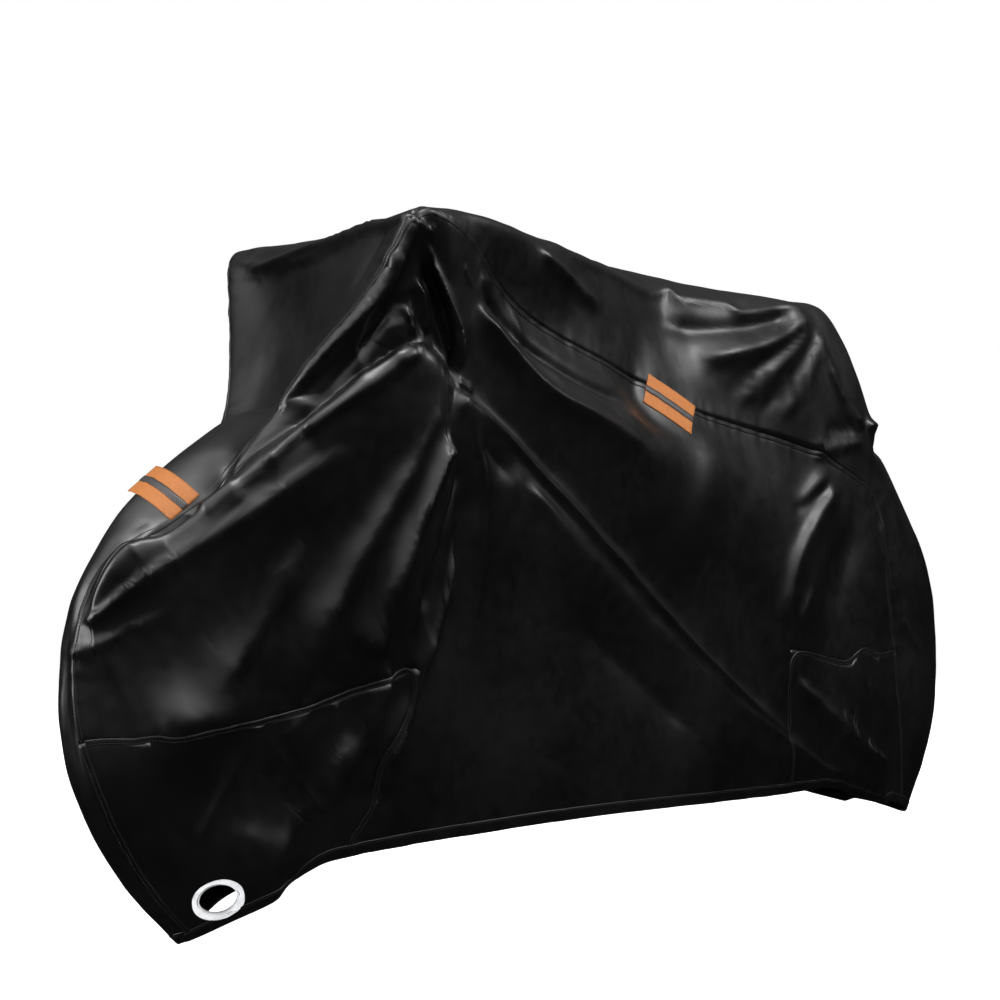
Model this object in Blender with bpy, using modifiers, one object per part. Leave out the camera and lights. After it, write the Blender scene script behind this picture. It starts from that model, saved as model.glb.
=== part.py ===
"""Fitted cover for a road bicycle, as it hangs over the bicycle, which is left out.

The whole cover is one draped skin. Guide lines run along its length, from the front tip over the
top to the rear tip, and ribs cross them from the near hem over the top to the far hem. The panels
are cut out of that skin along the seams, so neighbours share their edges, and each is given the
thickness of the cloth. X runs from the front wheel to the rear wheel, the near side is at -Y.
"""
import math

import bmesh
import bpy
from mathutils import Matrix, Vector

CLOTH = 0.0015            # thickness of the coated cloth with its seam allowances
GAP = 0.0003              # clearance between sewn neighbours
SADDLE_TOP = Vector((0.83, 0.0, 0.99))   # what holds the cover up, in the frame of the guide lines
TUCK_WAY = Vector((0.60, 0.80, -0.05))   # way in which the near cloth tucks in behind its crease

# Guide lines of the near side and the middle. Columns: at, x, y, z. "at" counts along the cover:
# 0 front tip, 4 front of the wheel, 6 front tape, 10 handlebar, 11 end of the drop bar,
# 14.5 saddle nose, 17 saddle tail, 18 rear mudguard, 20 rear tip. The front axle is at x = 0 and
# the ground at z = 0.
CENTRE = [
    (0, -0.188, 0, 0.028), (1, -0.260, 0, 0.098), (2, -0.331, 0, 0.215), (3, -0.360, 0, 0.340),
    (4, -0.351, 0, 0.440), (5, -0.313, 0, 0.529), (6, -0.251, 0, 0.622), (7, -0.170, 0, 0.683),
    (7.6, -0.103, 0, 0.728), (8.1, -0.052, 0, 0.738), (8.6, -0.024, 0, 0.785), (9.3, -0.006, 0, 0.875),
    (10, 0.012, 0, 0.966), (10.6, 0.060, 0, 0.984), (11.5, 0.150, 0, 0.990), (12.5, 0.290, 0, 0.987),
    (13.5, 0.450, 0, 0.990), (14.5, 0.610, 0, 1.006), (15.5, 0.780, 0, 1.003), (16.5, 0.970, 0, 1.000),
    (17, 1.040, 0, 0.997), (17.4, 1.088, 0, 0.950), (17.8, 1.142, 0, 0.868), (18, 1.172, 0, 0.822),
    (18.2, 1.176, 0, 0.775), (18.5, 1.228, 0, 0.703), (18.8, 1.300, 0, 0.618), (19.1, 1.343, 0, 0.530),
    (19.4, 1.357, 0, 0.418), (19.6, 1.349, 0, 0.300), (19.8, 1.316, 0, 0.205), (20, 1.256, 0, 0.112),
]
RIDGE = [
    (0, -0.187, -0.010, 0.031), (2, -0.333, -0.024, 0.217), (4, -0.354, -0.019, 0.440),
    (5, -0.318, -0.024, 0.526), (6, -0.250, -0.035, 0.610), (7, -0.180, -0.045, 0.664),
    (7.6, -0.126, -0.055, 0.702), (8.1, -0.080, -0.070, 0.722), (8.6, -0.050, -0.085, 0.775),
    (9.3, -0.022, -0.110, 0.862), (9.7, -0.004, -0.150, 0.930), (10, 0.018, -0.205, 0.977),
    (10.5, 0.060, -0.222, 0.986), (11, 0.115, -0.216, 0.991), (11.7, 0.200, -0.196, 0.994),
    (12.5, 0.310, -0.153, 0.994), (13.5, 0.460, -0.095, 0.992), (14.4, 0.600, -0.045, 0.984),
    (15, 0.664, -0.062, 0.960), (15.7, 0.770, -0.072, 0.947), (16.3, 0.868, -0.064, 0.965),
    (17, 1.000, -0.050, 0.980), (17.4, 1.064, -0.050, 0.915), (17.8, 1.108, -0.048, 0.836),
    (18.1, 1.136, -0.046, 0.765), (18.5, 1.186, -0.045, 0.680), (18.8, 1.230, -0.042, 0.590),
    (19.1, 1.262, -0.040, 0.500), (19.4, 1.276, -0.038, 0.405), (19.7, 1.268, -0.036, 0.270),
    (20, 1.236, -0.020, 0.122),
]
SEAM = [
    (0, -0.176, -0.018, 0.036), (1, -0.246, -0.036, 0.102), (2, -0.324, -0.045, 0.216),
    (3, -0.357, -0.041, 0.336), (4, -0.351, -0.036, 0.437), (5, -0.315, -0.045, 0.517),
    (6, -0.248, -0.066, 0.578), (7, -0.200, -0.084, 0.620), (7.6, -0.172, -0.096, 0.648),
    (8.1, -0.137, -0.120, 0.697), (8.6, -0.094, -0.150, 0.762), (9, -0.060, -0.178, 0.815),
    (9.5, -0.022, -0.216, 0.884), (10, 0.012, -0.250, 0.968), (10.5, 0.058, -0.248, 0.972),
    (11, 0.105, -0.232, 0.956), (11.5, 0.140, -0.212, 0.932), (12, 0.192, -0.185, 0.893),
    (12.5, 0.277, -0.160, 0.855), (13.2, 0.400, -0.138, 0.826), (14, 0.522, -0.118, 0.800),
    (14.8, 0.636, -0.105, 0.764), (15.5, 0.735, -0.095, 0.753), (16.5, 0.925, -0.078, 0.728),
    (17.2, 1.048, -0.065, 0.697), (17.8, 1.112, -0.056, 0.680), (18.1, 1.134, -0.053, 0.655),
    (18.5, 1.147, -0.052, 0.600), (18.8, 1.152, -0.052, 0.535), (19.1, 1.160, -0.052, 0.450),
    (19.4, 1.172, -0.052, 0.370), (19.7, 1.188, -0.048, 0.260), (20, 1.212, -0.030, 0.130),
]
SWELL = [
    (0, -0.153, -0.023, 0.048), (1, -0.205, -0.052, 0.104), (2, -0.265, -0.066, 0.203),
    (3, -0.310, -0.060, 0.320), (3.7, -0.339, -0.050, 0.400), (4.3, -0.343, -0.046, 0.456),
    (5, -0.318, -0.062, 0.525), (6, -0.261, -0.077, 0.569), (7, -0.214, -0.096, 0.607),
    (7.6, -0.175, -0.112, 0.646), (8.1, -0.135, -0.135, 0.684), (8.6, -0.092, -0.158, 0.728),
    (9, -0.055, -0.182, 0.775), (9.5, -0.004, -0.208, 0.830), (10, 0.045, -0.225, 0.885),
    (10.5, 0.085, -0.222, 0.870), (11, 0.118, -0.214, 0.862), (11.5, 0.155, -0.210, 0.846),
    (12, 0.205, -0.208, 0.806), (12.5, 0.280, -0.204, 0.770), (13.2, 0.395, -0.190, 0.742),
    (14, 0.520, -0.168, 0.716), (14.8, 0.632, -0.148, 0.690), (15.5, 0.735, -0.124, 0.640),
    (16.5, 0.905, -0.100, 0.560), (17.2, 1.010, -0.088, 0.505), (17.8, 1.068, -0.080, 0.478),
    (18.5, 1.100, -0.074, 0.430), (19.1, 1.120, -0.068, 0.350), (19.6, 1.140, -0.060, 0.250),
    (20, 1.188, -0.037, 0.136),
]
CREASE = [
    (0, -0.130, -0.028, 0.060), (1, -0.160, -0.062, 0.106), (2, -0.206, -0.076, 0.186),
    (3, -0.262, -0.072, 0.290), (3.7, -0.322, -0.063, 0.385), (4.3, -0.347, -0.060, 0.452),
    (5, -0.326, -0.082, 0.520), (6, -0.284, -0.102, 0.553), (7, -0.242, -0.121, 0.586),
    (7.6, -0.192, -0.146, 0.636), (8.6, -0.118, -0.176, 0.689), (9.3, -0.043, -0.211, 0.760),
    (10, 0.046, -0.231, 0.800), (10.6, 0.083, -0.222, 0.758), (11, 0.104, -0.212, 0.735),
    (12, 0.200, -0.198, 0.662), (13.2, 0.390, -0.175, 0.532), (14, 0.520, -0.158, 0.440),
    (14.8, 0.630, -0.142, 0.369), (15.5, 0.730, -0.126, 0.316), (16.5, 0.870, -0.105, 0.250),
    (17.2, 0.960, -0.091, 0.206), (18, 1.010, -0.083, 0.196), (18.8, 1.050, -0.076, 0.185),
    (19.4, 1.090, -0.068, 0.172), (20, 1.168, -0.043, 0.140),
]
HEM = [
    (0, -0.060, -0.040, 0.096), (1, -0.048, -0.053, 0.103), (2, -0.032, -0.065, 0.115),
    (3, -0.014, -0.076, 0.126), (5, 0.030, -0.088, 0.134), (7, 0.072, -0.099, 0.140),
    (9, 0.118, -0.110, 0.146), (10, 0.142, -0.114, 0.148), (11, 0.170, -0.118, 0.151),
    (12, 0.225, -0.123, 0.155), (13.2, 0.350, -0.130, 0.163), (14, 0.475, -0.126, 0.167),
    (14.8, 0.600, -0.116, 0.169), (15.5, 0.700, -0.108, 0.170), (16.5, 0.840, -0.094, 0.172),
    (17.2, 0.930, -0.083, 0.175), (18, 0.985, -0.074, 0.173), (18.8, 1.030, -0.066, 0.163),
    (19.4, 1.075, -0.057, 0.152), (20, 1.145, -0.046, 0.134),
]
# How far the near cloth between crease and hem stands out from a straight line. Columns: at, out.
BELLY = [(0, 0.0), (1, 0.014), (3, 0.020), (5, 0.022), (8, 0.016), (10, 0.006), (11, 0.0),
         (13, 0.004), (15, 0.006), (17, 0.002), (20, 0.0)]
# How the near cloth tucks in behind the crease. Columns: at, depth of the ledge, its rise.
TUCK = [(0, 0.0, 0.012), (3.5, 0.0, 0.012), (5, 0.010, 0.008), (6, 0.018, 0.010), (7, 0.022, 0.012),
        (9, 0.026, 0.006), (10, 0.030, 0.003), (10.8, 0.018, 0.006), (11, 0.020, 0.014),
        (11.5, 0.024, 0.021), (12, 0.026, 0.016), (13, 0.026, 0.010), (14, 0.024, 0.007),
        (16, 0.014, 0.005), (17.4, 0.004, 0.006), (18, 0.0, 0.010), (20, 0.0, 0.012)]

# The far side has the near side's lines at -y, pulled in where the bicycle is leaner there, and
# its ledge is shallower. Columns: at, share of the near side's y, shift to the rear for each metre
# of y, rise of the top over the far end of the handlebar.
FAR_REACH = [(0, 1.0, 0.60, 0.0), (4, 1.0, 0.65, 0.0), (5, 0.85, 0.85, 0.0), (6, 0.75, 0.90, 0.0),
             (8, 0.74, 0.80, 0.0), (9.3, 0.80, 0.30, 0.0), (9.8, 0.88, 0.10, 0.012),
             (10, 0.92, 0.0, 0.024), (10.6, 0.94, 0.0, 0.016), (11.5, 0.96, 0.0, 0.0),
             (20, 1.0, 0.0, 0.0)]
FAR_LEDGE = 0.6
FAR_SEAM = [
    (0, -0.165, 0.018, 0.034), (1, -0.229, 0.036, 0.100), (2, -0.303, 0.045, 0.216),
    (3, -0.336, 0.040, 0.336), (4, -0.331, 0.034, 0.437), (5, -0.286, 0.040, 0.523),
    (6, -0.229, 0.050, 0.594), (7, -0.163, 0.067, 0.660), (7.6, -0.112, 0.088, 0.700),
    (8.1, -0.075, 0.124, 0.717), (8.6, -0.055, 0.149, 0.744), (9, -0.040, 0.167, 0.782),
    (9.5, -0.017, 0.203, 0.864), (9.8, -0.003, 0.238, 0.946), (10, 0.008, 0.250, 0.996),
    (10.5, 0.050, 0.244, 1.002), (11, 0.105, 0.232, 0.974), (11.5, 0.145, 0.214, 0.934),
    (12.5, 0.277, 0.166, 0.862), (13.2, 0.400, 0.144, 0.830), (14, 0.522, 0.122, 0.800),
    (15.5, 0.735, 0.100, 0.755), (16.5, 0.925, 0.082, 0.728), (17.2, 1.048, 0.068, 0.697),
    (17.8, 1.112, 0.058, 0.680), (18.1, 1.134, 0.054, 0.655), (18.5, 1.147, 0.052, 0.600),
    (19.1, 1.160, 0.052, 0.450), (19.4, 1.172, 0.052, 0.370), (19.7, 1.188, 0.048, 0.260),
    (20, 1.212, 0.030, 0.130),
]

# Soft folds. Columns: where, plane it is drawn in, half width, height out of the cloth, route.
FOLDS = [
    ("near side", "xz", 0.020, 0.012, [(0.104, 0.690), (0.088, 0.560), (0.054, 0.440), (0.010, 0.380)]),
    ("near side", "xz", 0.020, -0.011,
     [(0.128, 0.640), (0.112, 0.540), (0.086, 0.430), (0.052, 0.280), (0.030, 0.170)]),
    ("near side", "xz", 0.036, 0.014, [(0.085, 0.690), (0.024, 0.500), (-0.034, 0.345), (-0.095, 0.170)]),
    ("near side", "xz", 0.020, -0.007, [(0.066, 0.600), (0.018, 0.400), (-0.028, 0.200)]),
    ("near side", "xz", 0.022, 0.012, [(0.080, 0.715), (-0.102, 0.596), (-0.222, 0.517), (-0.345, 0.446)]),
    ("near side", "xz", 0.026, -0.010, [(0.060, 0.668), (-0.110, 0.530), (-0.250, 0.460)]),
    ("near side", "xz", 0.016, 0.006, [(-0.352, 0.400), (-0.280, 0.438)]),
    ("near side", "xz", 0.044, -0.012, [(0.240, 0.560), (0.360, 0.440), (0.640, 0.250)]),
    ("near side", "xz", 0.032, 0.010, [(1.045, 0.672), (0.930, 0.560), (0.865, 0.400)]),
    ("near side", "xz", 0.028, -0.008, [(1.080, 0.640), (0.990, 0.540), (0.950, 0.430)]),
    ("near side", "xz", 0.024, 0.008, [(0.880, 0.355), (1.020, 0.275), (1.150, 0.190)]),
    ("near side", "xz", 0.016, -0.014, [(0.030, 0.960), (0.088, 0.770)]),
    ("near side", "xz", 0.016, 0.008, [(0.056, 0.950), (0.124, 0.790)]),
    ("near top", "xz", 0.024, 0.012, [(0.620, 0.850), (0.760, 0.895), (0.940, 0.930)]),
    ("near top", "xz", 0.020, -0.008, [(0.640, 0.905), (0.760, 0.920)]),
    ("near top", "xz", 0.020, 0.008, [(0.290, 0.970), (0.440, 0.880)]),
    ("near top", "xz", 0.022, -0.010, [(0.300, 0.925), (0.500, 0.830)]),
    ("front", "yz", 0.034, 0.008, [(-0.190, 0.930), (-0.040, 0.830)]),
    ("front", "yz", 0.034, -0.008, [(0.220, 0.960), (0.000, 0.860), (-0.060, 0.780)]),
    ("far side", "xz", 0.036, 0.014, [(0.085, 0.690), (0.030, 0.450), (-0.060, 0.200)]),
    ("far side", "xz", 0.040, -0.008, [(0.170, 0.640), (0.190, 0.420), (0.200, 0.260)]),
    ("far side", "xz", 0.036, 0.010, [(0.060, 0.700), (-0.100, 0.560), (-0.220, 0.450)]),
    ("far side", "xz", 0.042, 0.010, [(1.045, 0.672), (0.930, 0.520), (0.850, 0.300)]),
    ("far side", "xz", 0.042, -0.010, [(0.560, 0.700), (0.600, 0.500), (0.700, 0.360)]),
    ("far top", "xz", 0.032, 0.010, [(0.420, 0.860), (0.700, 0.880), (0.940, 0.900)]),
]

# Seams of the reinforced corners, in the side view. Columns: x, z.
FRONT_CORNER_TOP = [(-0.420, 0.276), (-0.346, 0.286), (-0.197, 0.305), (-0.012, 0.349), (0.130, 0.382)]
FRONT_CORNER_BACK = [(0.016, 0.100), (0.023, 0.143), (0.032, 0.188), (0.050, 0.257), (0.090, 0.400)]
REAR_CORNER_TOP = [(0.830, 0.393), (1.000, 0.389), (1.250, 0.402)]
REAR_CORNER_BACK = [(0.860, 0.130), (0.848, 0.420)]

# Lock eyelet in each front corner.
EYELET_CENTRE = Vector((-0.160, -0.055, 0.088))
EYELET_NORMAL = Vector((-0.25, -0.84, -0.48)).normalized()
EYELET_HOLE = 0.0270      # radius of the hole in the cloth
EYELET_BORE = 0.0245      # radius of the clear way through the ring
EYELET_RIM = 0.0370       # outer radius of the ring
EYELET_FLANGE = 0.0022    # thickness of each flange
EYELET_OVAL = 0.90        # height of the ring over its length
FLAT_REACH = 0.062        # the cloth is flat this far from the eyelet's centre
FLAT_BLEND = 0.050        # and blends into the drape over this distance
EYELET_STEPS = 26
SEAM_STEP = 0.00024       # how far each panel stands back from a seam

# Reflective tapes. Columns: name, middle, way of its length, way it faces, length, height, bow.
TAPES = [
    ("front_tape", (-0.227, -0.019, 0.607), (0.187, -0.88, -0.44), (-0.68, -0.44, 0.59), 0.100, 0.050, 0.013),
    ("near_side_tape", (0.576, -0.118, 0.778), (0.894, -0.10, -0.435), (-0.13, -0.90, 0.36), 0.100, 0.055,
     0.002),
    ("far_side_tape", (0.576, 0.125, 0.778), (0.894, 0.10, -0.435), (-0.13, 0.90, 0.36), 0.100, 0.055,
     0.002),
]
TAPE = 0.0012             # thickness of the orange tape
STRIPE = 0.0008           # thickness of the grey strip along its middle
STRIPE_SHARE = 0.20       # height of the strip over the tape's
TAPE_CELLS = 8            # along each tape
TAPE_CLEAR = 0.0006       # from the cloth to the tape
TAPE_REACH = 0.030        # the cloth is pressed in this far past its edges
TAPE_BLEND = 0.030        # and blends into the drape over this distance
TAPE_DEPTH = 0.060        # cloth further than this behind a tape is not its own
BELOW_THE_FOLD = ("hem to belly", "belly to crease", "ledge", "crease to belly", "belly to hem")

# Cells of the skin. Columns: from, to, cells along the cover.
COLUMNS = [(0, 3, 7), (3, 5, 7), (5, 8, 11), (8, 10, 14), (10, 12, 13), (12, 13.8, 6), (13.8, 15, 6),
           (15, 17, 7), (17, 18.8, 9), (18.8, 20, 6)]
# Cells across, from the near hem to the far hem. Columns: side, band, cells.
ROWS = [("near side", "hem to belly", 3), ("near side", "belly to crease", 4), ("near side", "ledge", 1),
        ("near side", "ledge to swell", 3), ("near side", "swell to seam", 3),
        ("near top", "seam to ridge", 3), ("near top", "ridge to centre", 2),
        ("far top", "centre to ridge", 2), ("far top", "ridge to seam", 3),
        ("far side", "seam to swell", 3), ("far side", "swell to ledge", 2), ("far side", "ledge", 1),
        ("far side", "crease to belly", 2), ("far side", "belly to hem", 2)]


def smooth(knots, values, at):
    """Value at a place on the smooth curve through values, which stand at rising knots."""
    last = len(knots) - 1
    at = min(max(at, knots[0]), knots[-1])
    i = next(i for i in range(last) if at <= knots[i + 1])

    def slope(j):
        before, after = max(j - 1, 0), min(j + 1, last)
        return (values[after] - values[before]) / (knots[after] - knots[before])

    step = knots[i + 1] - knots[i]
    t = (at - knots[i]) / step
    return ((2 * t**3 - 3 * t**2 + 1) * values[i] + (t**3 - 2 * t**2 + t) * step * slope(i)
            + (3 * t**2 - 2 * t**3) * values[i + 1] + (t**3 - t**2) * step * slope(i + 1))


def on_line(table, at):
    """Point of a guide line at a place along the cover."""
    return smooth([row[0] for row in table], [Vector(row[1:]) for row in table], at)


def in_table(table, at):
    """Straight interpolation of a table whose first column rises."""
    if at <= table[0][0]:
        return table[0][1:]
    for low, high in zip(table, table[1:]):
        if at <= high[0]:
            share = (at - low[0]) / (high[0] - low[0])
            return [a + (b - a) * share for a, b in zip(low[1:], high[1:])]
    return table[-1][1:]


def through(points, cells):
    """Points from the first to the last of a few, at even steps of a smooth curve, without the last."""
    knots = [0.0]
    for a, b in zip(points, points[1:]):
        knots.append(knots[-1] + max((b - a).length, 1e-6))
    counts = cells if isinstance(cells, (list, tuple)) else [cells]
    found = []
    for k, count in enumerate(counts):
        for i in range(count):
            found.append(smooth(knots, points, knots[k] + (knots[k + 1] - knots[k]) * i / count))
    return found


def rib(at):
    """One line across the cover, from the near hem over the top to the far hem."""
    count = {(side, band): cells for side, band, cells in ROWS}
    share, shift, lift = in_table(FAR_REACH, at)

    def mirrored(p):
        return Vector((p.x - p.y * share * shift, -p.y * share, p.z))

    out = Vector((0.0, -in_table(BELLY, at)[0], 0.0))
    depth, rise = in_table(TUCK, at)
    hem, crease, swell = on_line(HEM, at), on_line(CREASE, at), on_line(SWELL, at)
    seam, ridge, centre = on_line(SEAM, at), on_line(RIDGE, at), on_line(CENTRE, at)
    belly = (hem + crease) / 2 + out
    up = (swell - crease) * min(rise / (swell - crease).length, 0.3)
    ledge = crease + TUCK_WAY * depth + up
    far_ledge = mirrored(crease + TUCK_WAY * depth * FAR_LEDGE + up)
    far_seam, far_ridge = on_line(FAR_SEAM, at), mirrored(ridge) + Vector((0.0, 0.0, lift))
    if at > 7:
        far_ridge = far_ridge.lerp((far_seam + centre) / 2, 0.25)
    row = through([hem, belly, crease],
                  [count["near side", "hem to belly"], count["near side", "belly to crease"]])
    row += through([crease, ledge], count["near side", "ledge"])
    row += through([ledge, swell, seam],
                   [count["near side", "ledge to swell"], count["near side", "swell to seam"]])
    row += through([seam, ridge, centre, far_ridge, far_seam],
                   [count["near top", "seam to ridge"], count["near top", "ridge to centre"],
                    count["far top", "centre to ridge"], count["far top", "ridge to seam"]])
    row += through([far_seam, mirrored(swell), far_ledge],
                   [count["far side", "seam to swell"], count["far side", "swell to ledge"]])
    row += through([far_ledge, mirrored(crease)], count["far side", "ledge"])
    row += through([mirrored(crease), mirrored(belly), mirrored(hem)],
                   [count["far side", "crease to belly"], count["far side", "belly to hem"]])
    return row + [mirrored(hem)]


def row_names():
    """The side and the band that each row of vertices belongs to."""
    names = [(side, band) for side, band, cells in ROWS for i in range(cells)]
    return names + [names[-1]]


def skin():
    """The open skin of the whole cover, a grid whose columns run along it and rows across it."""
    places = [low + (high - low) * i / cells for low, high, cells in COLUMNS for i in range(cells)]
    places.append(COLUMNS[-1][1])
    ribs = [rib(at) for at in places]
    rows = len(ribs[0])
    bm = bmesh.new()
    bmesh.ops.create_grid(bm, x_segments=len(ribs) - 1, y_segments=rows - 1, size=1.0)
    column_layer = bm.verts.layers.int.new("column")
    row_layer = bm.verts.layers.int.new("row")
    for vert in bm.verts:
        column = round((vert.co.x + 1) / 2 * (len(ribs) - 1))
        row = round((vert.co.y + 1) / 2 * (rows - 1))
        vert[column_layer], vert[row_layer] = column, row
        vert.co = ribs[column][row]
    bm.normal_update()
    middle = min(bm.faces, key=lambda f: (f.calc_center_median() - Vector((0.83, 0, 1.0))).length)
    if middle.normal.z < 0:
        bmesh.ops.reverse_faces(bm, faces=bm.faces[:])
        bm.normal_update()
    return bm, places


def fade(share, ends=0.22):
    """Rises from 0 and falls back to 0 at the two ends of a fold."""
    t = min(share, 1 - share) / ends
    t = min(max(t, 0.0), 1.0)
    return t * t * (3 - 2 * t)


def near_route(a, b, route):
    """Distance of a point of the plane from a route, and its share along it."""
    total = sum(math.dist(p, q) for p, q in zip(route, route[1:]))
    best, gone = (1e9, 0.0), 0.0
    for (px, py), (qx, qy) in zip(route, route[1:]):
        dx, dy = qx - px, qy - py
        length = math.hypot(dx, dy)
        t = min(max(((a - px) * dx + (b - py) * dy) / length**2, 0.0), 1.0)
        best = min(best, (math.hypot(a - px - t * dx, b - py - t * dy), (gone + t * length) / total))
        gone += length
    return best


def add_folds(bm, places):
    """Raises the soft folds out of the skin, along its own normals."""
    names = row_names()
    column_layer, row_layer = bm.verts.layers.int["column"], bm.verts.layers.int["row"]
    moves = {}
    for vert in bm.verts:
        side = names[vert[row_layer]][0]
        at = places[vert[column_layer]]
        parts = {side, "front" if side.endswith("top") and 7.4 < at < 10 else side}
        height = 0.0
        for where, plane, half_width, out, route in FOLDS:
            if where not in parts:
                continue
            first = vert.co.x if plane == "xz" else vert.co.y
            distance, share = near_route(first, vert.co.z, route)
            height += out * fade(share) * math.exp(-((distance / half_width) ** 2))
        if height:
            moves[vert] = vert.normal * height
    for vert, move in moves.items():
        vert.co += move
    bm.normal_update()


def flatten_at_eyelets(bm):
    """Lays the cloth flat where the lock eyelets are pressed into the front corners."""
    names = row_names()
    row_layer = bm.verts.layers.int["row"]
    for side, seam, sign in (("near side", ("near top", "seam to ridge"), 1),
                             ("far side", ("far side", "seam to swell"), -1)):
        centre = Vector((EYELET_CENTRE.x, EYELET_CENTRE.y * sign, EYELET_CENTRE.z))
        normal = Vector((EYELET_NORMAL.x, EYELET_NORMAL.y * sign, EYELET_NORMAL.z))
        for vert in bm.verts:
            row = vert[row_layer]
            if names[row][0] != side and row != names.index(seam):
                continue
            away = vert.co - centre
            height = away.dot(normal)
            reach = (away - normal * height).length
            share = min(max((reach - FLAT_REACH) / FLAT_BLEND, 0.0), 1.0)
            share = share * share * (3 - 2 * share)
            vert.co.y -= height / normal.y * (1 - share)
    bm.normal_update()


def cut_along(bm, faces, seam, upright):
    """Cuts faces along a seam given in the side view, with the seam straightened for the cut."""
    first, second = (2, 0) if upright else (0, 2)
    table = sorted((z, x) if upright else (x, z) for x, z in seam)
    for vert in bm.verts:
        vert.co[second] -= in_table(table, vert.co[first])[0]
    normal = Vector((0, 0, 0))
    normal[second] = 1.0
    geometry = set(faces)
    for face in faces:
        geometry.update(face.edges)
        geometry.update(face.verts)
    bmesh.ops.bisect_plane(bm, geom=list(geometry), dist=0.004, plane_co=(0, 0, 0), plane_no=normal,
                           use_snap_center=True)
    for vert in bm.verts:
        vert.co[second] += in_table(table, vert.co[first])[0]


def below_corner(point, top, back, in_front):
    """Whether a point of the side view lies in the corner under its top seam."""
    back_x = in_table(sorted((z, x) for x, z in back), point.z)[0]
    return point.z < in_table(top, point.x)[0] and (point.x < back_x) == in_front


def panel_of(face, side):
    """Name of the panel that a face of the skin belongs to."""
    centre = face.calc_center_median()
    if side == "top":
        return "top_panel"
    if below_corner(centre, FRONT_CORNER_TOP, FRONT_CORNER_BACK, True):
        return side + "_front_corner"
    if below_corner(centre, REAR_CORNER_TOP, REAR_CORNER_BACK, False):
        return side + "_rear_corner"
    return side + "_side_panel"


def join_strays(bm, panel_layer):
    """Gives each stray patch of a panel to the panel that it borders most."""
    unseen, patches = set(bm.faces), []
    while unseen:
        patch, pending = [], [unseen.pop()]
        while pending:
            face = pending.pop()
            patch.append(face)
            for edge in face.edges:
                for other in edge.link_faces:
                    if other in unseen and other[panel_layer] == face[panel_layer]:
                        unseen.remove(other)
                        pending.append(other)
        patches.append(patch)
    largest = {}
    for patch in patches:
        panel = patch[0][panel_layer]
        largest[panel] = max(largest.get(panel, 0), len(patch))
    for patch in patches:
        if len(patch) == largest[patch[0][panel_layer]]:
            continue
        borders = [other[panel_layer] for face in patch for edge in face.edges for other in edge.link_faces
                   if other[panel_layer] != face[panel_layer]]
        for face in patch:
            face[panel_layer] = max(sorted(set(borders)), key=borders.count)


def cut_corners(bm, side_layer):
    """Cuts the seams of the four reinforced corners into the skin."""
    reach = 0.06
    for top, back, sign in ((FRONT_CORNER_TOP, FRONT_CORNER_BACK, 1),
                            (REAR_CORNER_TOP, REAR_CORNER_BACK, -1)):
        by_height = sorted((z, x) for x, z in back)
        for seam, upright in ((top, False), (back, True)):
            chosen = []
            for face in bm.faces:
                if face[side_layer] == 1:
                    continue
                centre = face.calc_center_median()
                inside_back = sign * (in_table(by_height, centre.z)[0] - centre.x) > -reach
                inside_top = centre.z < in_table(top, centre.x)[0] + reach
                if (inside_top if upright else inside_back) and (not upright or centre.z < 0.42):
                    chosen.append(face)
            cut_along(bm, chosen, seam, upright)


def pulled_back(bm, panel_layer, name):
    """Where a panel's edge vertices go, so that its seams stand a small gap off the neighbours."""
    moves = {}
    for edge in bm.edges:
        faces = [f for f in edge.link_faces if f[panel_layer] == name]
        if len(faces) != 1 or len(edge.link_faces) != 2:
            continue
        along = (edge.verts[1].co - edge.verts[0].co).normalized()
        away = faces[0].calc_center_median() - edge.verts[0].co
        inward = (away - along * away.dot(along)).normalized()
        for vert in edge.verts:
            moves.setdefault(vert, []).append(inward)
    found = {}
    for vert, inwards in moves.items():
        first, last = inwards[0], inwards[-1]
        found[vert] = (first + last) * (SEAM_STEP / max(1 + first.dot(last), 0.6))
    return found


def new_object(name, bm, material, collection):
    """An object of its own from a bmesh, with its material, in the collection."""
    mesh = bpy.data.meshes.new(name)
    bm.to_mesh(mesh)
    bm.free()
    mesh.materials.append(material)
    mesh.shade_smooth()
    mesh.set_sharp_from_angle(angle=math.radians(38))
    thing = bpy.data.objects.new(name, mesh)
    collection.objects.link(thing)
    return thing


def thick_panel(bm, panel_layer, index, inner):
    """A closed panel: its part of the skin, the same moved in by the cloth's thickness, and a rim."""
    shift = pulled_back(bm, panel_layer, index)
    panel = bmesh.new()
    top, bottom = {}, {}
    faces = [f for f in bm.faces if f[panel_layer] == index]
    for face in faces:
        for vert in face.verts:
            if vert not in top:
                move = shift.get(vert, Vector())
                top[vert] = panel.verts.new(vert.co + move)
                bottom[vert] = panel.verts.new(inner[vert] + move)
    for face in faces:
        panel.faces.new([top[v] for v in face.verts])
        panel.faces.new([bottom[v] for v in reversed(face.verts)])
        for loop in face.loops:
            a, b = loop.vert, loop.link_loop_next.vert
            others = [f for f in loop.edge.link_faces if f[panel_layer] == index]
            if len(others) == 1:
                panel.faces.new([top[b], top[a], bottom[a]])
                panel.faces.new([top[b], bottom[a], bottom[b]])
    return panel


def inner_side(bm):
    """Where each vertex of the skin lies on the inside of the cloth."""
    inner = {}
    for vert in bm.verts:
        spread = min(vert.normal.dot(f.normal) for f in vert.link_faces)
        inner[vert] = vert.co - vert.normal * (CLOTH / max(spread, 0.65))
    return inner


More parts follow.
